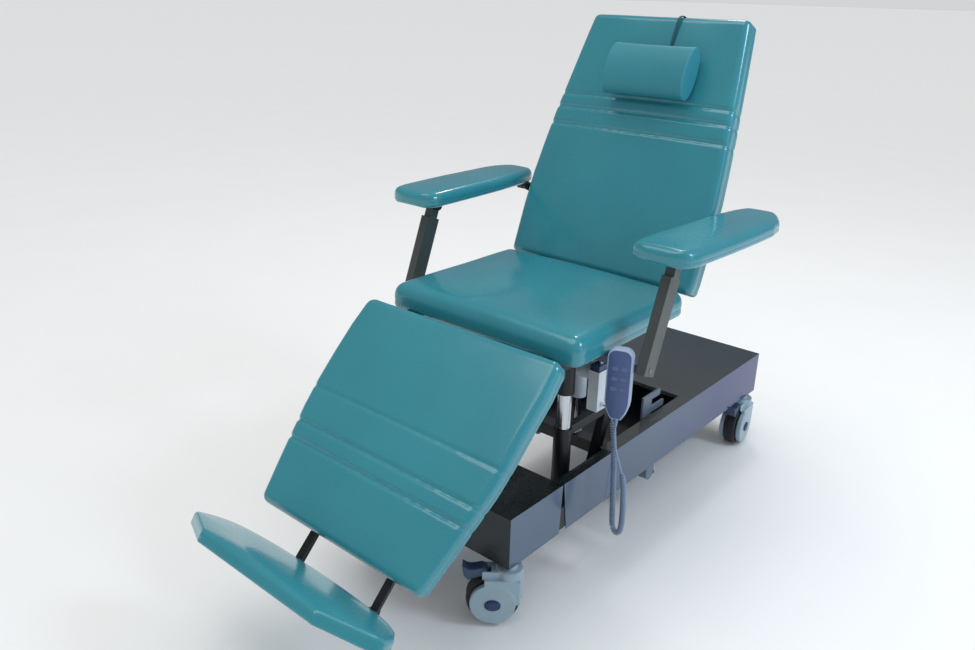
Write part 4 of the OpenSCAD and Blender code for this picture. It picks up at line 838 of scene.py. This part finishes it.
def addPedal(v, corner):
    # the pedal's outline, in steps of its size from the pin, drawn out to its width; the toe's upper edge
    # dips by half a sine wave and rises to a lip
    px, pz = v["pin"]
    d = v["size"]
    toe = np.linspace(0, 1, v["toeSteps"])
    top = [(px - d, pz + d), (px + d, pz + 2 * d)]
    kick = [(px + 4 * d + (5 * d - v["toeShort"]) * t,
             pz + d + v["toeLift"] - v["toeDip"] * math.sin(math.pi * t) + v["toeRise"] * t) for t in toe]
    under = [(px + 8 * d, pz - 2 * d), (px + 6.2 * d, pz - 3.9 * d), (px + 5 * d, pz - 3 * d),
             (px - d, pz - d)]
    outline = np.array(top + kick + under)
    grid = np.stack([np.stack([outline[:, 0], np.full(len(outline), y), outline[:, 1]], axis=-1)
                     for y in (-v["wide"] / 2, v["wide"] / 2)])
    piece = surfacePiece("brake_pedal_" + corner, inCaster(grid, corner), caps=True)
    bevel = piece.modifiers.new("edges", "BEVEL")
    bevel.width, bevel.segments = v["round"], v["segments"]
    bevel.limit_method, bevel.angle_limit = "ANGLE", math.radians(v["bevelFrom"])
    finishPiece(piece, "pedalPlastic", "pedal_" + corner, turnedAngle)
    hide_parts("pedal_" + corner)


for corner in corners:
    shell = mouldedCopy("shell_" + corner, "caster_shell_" + corner, casterValues)
    finishPiece(shell, "casterShell", "shell_" + corner)
    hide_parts("shell_" + corner)
    tyreGrid = wheelGrid(casterValues, tyreProfile(casterValues))
    tyre = surfacePiece("tyre_" + corner, inCaster(tyreGrid, corner))
    finishPiece(tyre, "tyre", "wheel_" + corner, turnedAngle)
    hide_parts("wheel_" + corner)
    hubGrid = wheelGrid(casterValues, hubProfile(casterValues))
    hub = surfacePiece("hub_" + corner, inCaster(hubGrid, corner))
    finishPiece(hub, "casterShell", "wheel_" + corner, turnedAngle)
    for side, word in ((1, "outer"), (-1, "inner")):
        cap = surfacePiece("cap_" + word + "_" + corner, inCaster(capGrid(casterValues, side), corner))
        finishPiece(cap, "navyPlastic", "shell_" + corner)
    addPedal(pedalValues, corner)
print("casters made")


# handset: a rounded shell, a face plate set into it and six keys
handValues = {"place": (324, -147, 484), "turn": 20.0, "wide": 57, "high": 170, "thick": 25, "round": 20,
              "edge": 4.0, "edgeSteps": 7, "roundSteps": 24, "steps": 120, "centre": (0, 100),
              "tip": 12, "tipShare": 0.5, "taper": [(7, 16), (2.2, 30), (0, 44)], "taperShare": 0.3,
              "rimFront": 3.2, "faceRings": [(0.2, 0.5), (0.3, -0.1), (0.9, -0.5)],
              "keys": {"lift_up": (0, 2), "lift_down": (1, 2), "back_up": (0, 1), "back_down": (1, 1),
                       "leg_up": (0, 0), "leg_down": (1, 0)},
              "keyStep": (20, 24), "keyLow": 76, "keySize": (15, 11), "keyProud": 1.7, "keyAround": 40,
              "keySquare": 0.55, "keyRoot": 1, "keyRings": [(1, 0.7), (0.94, 0.2), (0.8, 0)]}   # millimetres


def inHand(points):
    # turned and put at the handset's lower end
    return turnedUp(points, handValues["turn"]) + np.array(handValues["place"]) * mm


def handOutline(v, inset):
    # round shoulders at the top, straight sides, a long taper to a blunt lower end; walked at even steps
    w, h, r = v["wide"] / 2 - inset, v["high"] - inset, v["round"] - inset
    bend = np.linspace(0, np.pi / 2, v["roundSteps"])
    (lowIn, lowUp), (midIn, midUp), (topIn, topUp) = v["taper"]
    lower = [(v["tip"] - inset * v["tipShare"], inset), (w - lowIn, lowUp + inset * v["taperShare"]),
             (w - midIn, midUp), (w - topIn, topUp), (w, h - r)]
    right = np.concatenate([lower, np.stack([w - r + r * np.cos(bend), h - r + r * np.sin(bend)], -1)])
    loop = np.concatenate([right, (right * np.array([-1, 1]))[::-1], right[:1]])
    walked = walkedAlong(loop)
    return pointsAt(loop, walked, np.linspace(0, walked[-1], v["steps"], endpoint=False))


def platePiece(name, rings, centre):
    # rings of the outline, each with its depth, closed by a middle point at both ends
    stack = [np.stack([outline[:, 0], np.full(len(outline), depth), outline[:, 1]], axis=-1)
             for outline, depth in rings]
    first = np.broadcast_to(np.array([centre[0], rings[0][1], centre[1]]), stack[0].shape)
    last = np.broadcast_to(np.array([centre[0], rings[-1][1], centre[1]]), stack[0].shape)
    return surfacePiece(name, inHand(np.stack([first, *stack, last]) * mm))


def addHandset(v):
    # the shell's rim follows a quarter circle in front and behind; the face and the keys are stepped plates
    t, edge, rim = v["thick"] / 2, v["edge"], v["rimFront"]
    bend = np.linspace(0, np.pi / 2, v["edgeSteps"])
    front = [(handOutline(v, edge * (1 - math.sin(a))), -t + edge * (1 - math.cos(a))) for a in bend]
    rear = [(outline, -depth) for outline, depth in front[::-1]]
    shell = platePiece("handset_shell", front + rear, v["centre"])
    finishPiece(shell, "handsetRim", "seat")
    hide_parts("handset")
    face = [(handOutline(v, rim + inset), -t + depth) for inset, depth in v["faceRings"]]
    plate = platePiece("handset_face", face, v["centre"])
    finishPiece(plate, "handsetFace", "seat", turnedAngle)
    keyWide, keyHigh = v["keySize"]
    c, s = softCurve(v["keyAround"], keyWide, keyHigh, v["keySquare"])
    oval = np.stack([c * keyWide / 2, s * keyHigh / 2], axis=-1)
    proud = -t - v["keyProud"]
    for key, (column, row) in v["keys"].items():
        middle = np.array([(column - 0.5) * v["keyStep"][0], v["keyLow"] + row * v["keyStep"][1]])
        rings = [(oval + middle, -t + v["keyRoot"])]
        rings += [(oval * share + middle, proud + depth) for share, depth in v["keyRings"]]
        button = platePiece("button_" + key, rings, middle)
        finishPiece(button, "keyPlastic", "key_" + key)
        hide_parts("key_" + key)


addHandset(handValues)

reliefValues = {"start": 486, "end": 462, "wide": 5.6, "narrow": 2.9, "steps": 60, "sides": 24,
                "rib": 0.35, "ribs": 5}   # millimetres


def addRelief(v):
    # a tapered sleeve where the cable leaves the handset; a cosine wave along it makes its soft ribs
    z = np.linspace(v["start"], v["end"], v["steps"])
    share = (v["start"] - z) / (v["start"] - v["end"])
    radius = v["wide"] + (v["narrow"] - v["wide"]) * share + v["rib"] * np.cos(share * 2 * v["ribs"] * np.pi)
    x, y = handValues["place"][:2]
    path = np.stack([np.full(v["steps"], x), np.full(v["steps"], y), z], axis=-1) * mm
    piece = surfacePiece("handset_relief", sweepTube(path, radius * mm, v["sides"]), caps=True)
    finishPiece(piece, "cable", "seat", turnedAngle)


addRelief(reliefValues)
print("handset made")


# floor and light
floorValues = {"half": 150.0, "colour": (0.88, 0.875, 0.865), "shade": 0.985, "patch": 3.0,
               "detail": 3.0, "rough": 0.6}


def addFloor(v):
    # a wide square whose colour drifts a little
    h = v["half"]
    floor = meshPiece("floor", [(-h, -h, 0), (h, -h, 0), (h, h, 0), (-h, h, 0)], [(0, 1, 2, 3)])
    material, tree, shader = startMaterial("floorPaint", {**plainFinish, **v})
    coordinates = tree.nodes.new("ShaderNodeTexCoord").outputs["Object"]
    share = addRange(tree, addNoise(tree, coordinates, v["patch"], v["detail"]), 0.0, 1.0)
    shaded = tuple(part * v["shade"] for part in v["colour"])
    tree.links.new(addMix(tree, share, v["colour"], shaded), shader.inputs["Base Color"])
    shader.inputs["Roughness"].default_value = v["rough"]
    floor.data.materials.append(material)


addFloor(floorValues)

lampValues = [
    {"name": "window", "place": (2.6, 0.9, 2.9), "aim": (0, 0, 0.7), "size": 0.8, "power": 34,
     "tint": (0.72, 0.86, 1)},
    {"name": "low", "place": (4.6, 0.4, 1.7), "aim": (0, 0.2, 0.4), "size": 2.4, "power": 24,
     "tint": (0.36, 0.62, 1)},
    {"name": "spot", "place": (-0.9, 2.4, 3.4), "aim": (0, 0, 0.8), "size": 0.5, "power": 16,
     "tint": (1, 0.99, 0.96)},
]
sunValues = {"turn": (14.0, -10.0, 0.0), "wide": 46.0, "strength": 0.95, "tint": (1, 0.985, 0.96)}   # degrees


def addLamp(v):
    # a square area lamp turned towards its aim
    data = bpy.data.lights.new(v["name"], "AREA")
    data.shape, data.size, data.energy, data.color = "SQUARE", v["size"], v["power"], v["tint"]
    lamp = bpy.data.objects.new(v["name"], data)
    scene.collection.objects.link(lamp)
    lamp.location = v["place"]
    lamp.rotation_mode = "QUATERNION"
    lamp.rotation_quaternion = (Vector(v["aim"]) - Vector(v["place"])).to_track_quat("-Z", "Y")


def addSun(v):
    # a broad even light from above, the same on the floor near and far
    data = bpy.data.lights.new("ceiling", "SUN")
    data.energy, data.color, data.angle = v["strength"], v["tint"], math.radians(v["wide"])
    lamp = bpy.data.objects.new("ceiling", data)
    scene.collection.objects.link(lamp)
    lamp.rotation_euler = [math.radians(a) for a in v["turn"]]


for values in lampValues:
    addLamp(values)
addSun(sunValues)


worldValues = {"seen": (0.70, 0.72, 0.74), "mirrored": (0.24, 0.27, 0.31), "strength": 0.92}


def addWorld(v):
    # pale to the camera and for soft light, darker in reflections, as a room is
    world = bpy.data.worlds.new("room")
    scene.world = world
    world.use_nodes = True
    tree = world.node_tree
    light = tree.nodes.new("ShaderNodeLightPath")
    colour = addMix(tree, light.outputs["Is Glossy Ray"], v["seen"], v["mirrored"])
    tree.links.new(colour, tree.nodes["Background"].inputs["Color"])
    tree.nodes["Background"].inputs["Strength"].default_value = v["strength"]


addWorld(worldValues)
scene.view_settings.view_transform = "Standard"
print("floor and lamps placed")
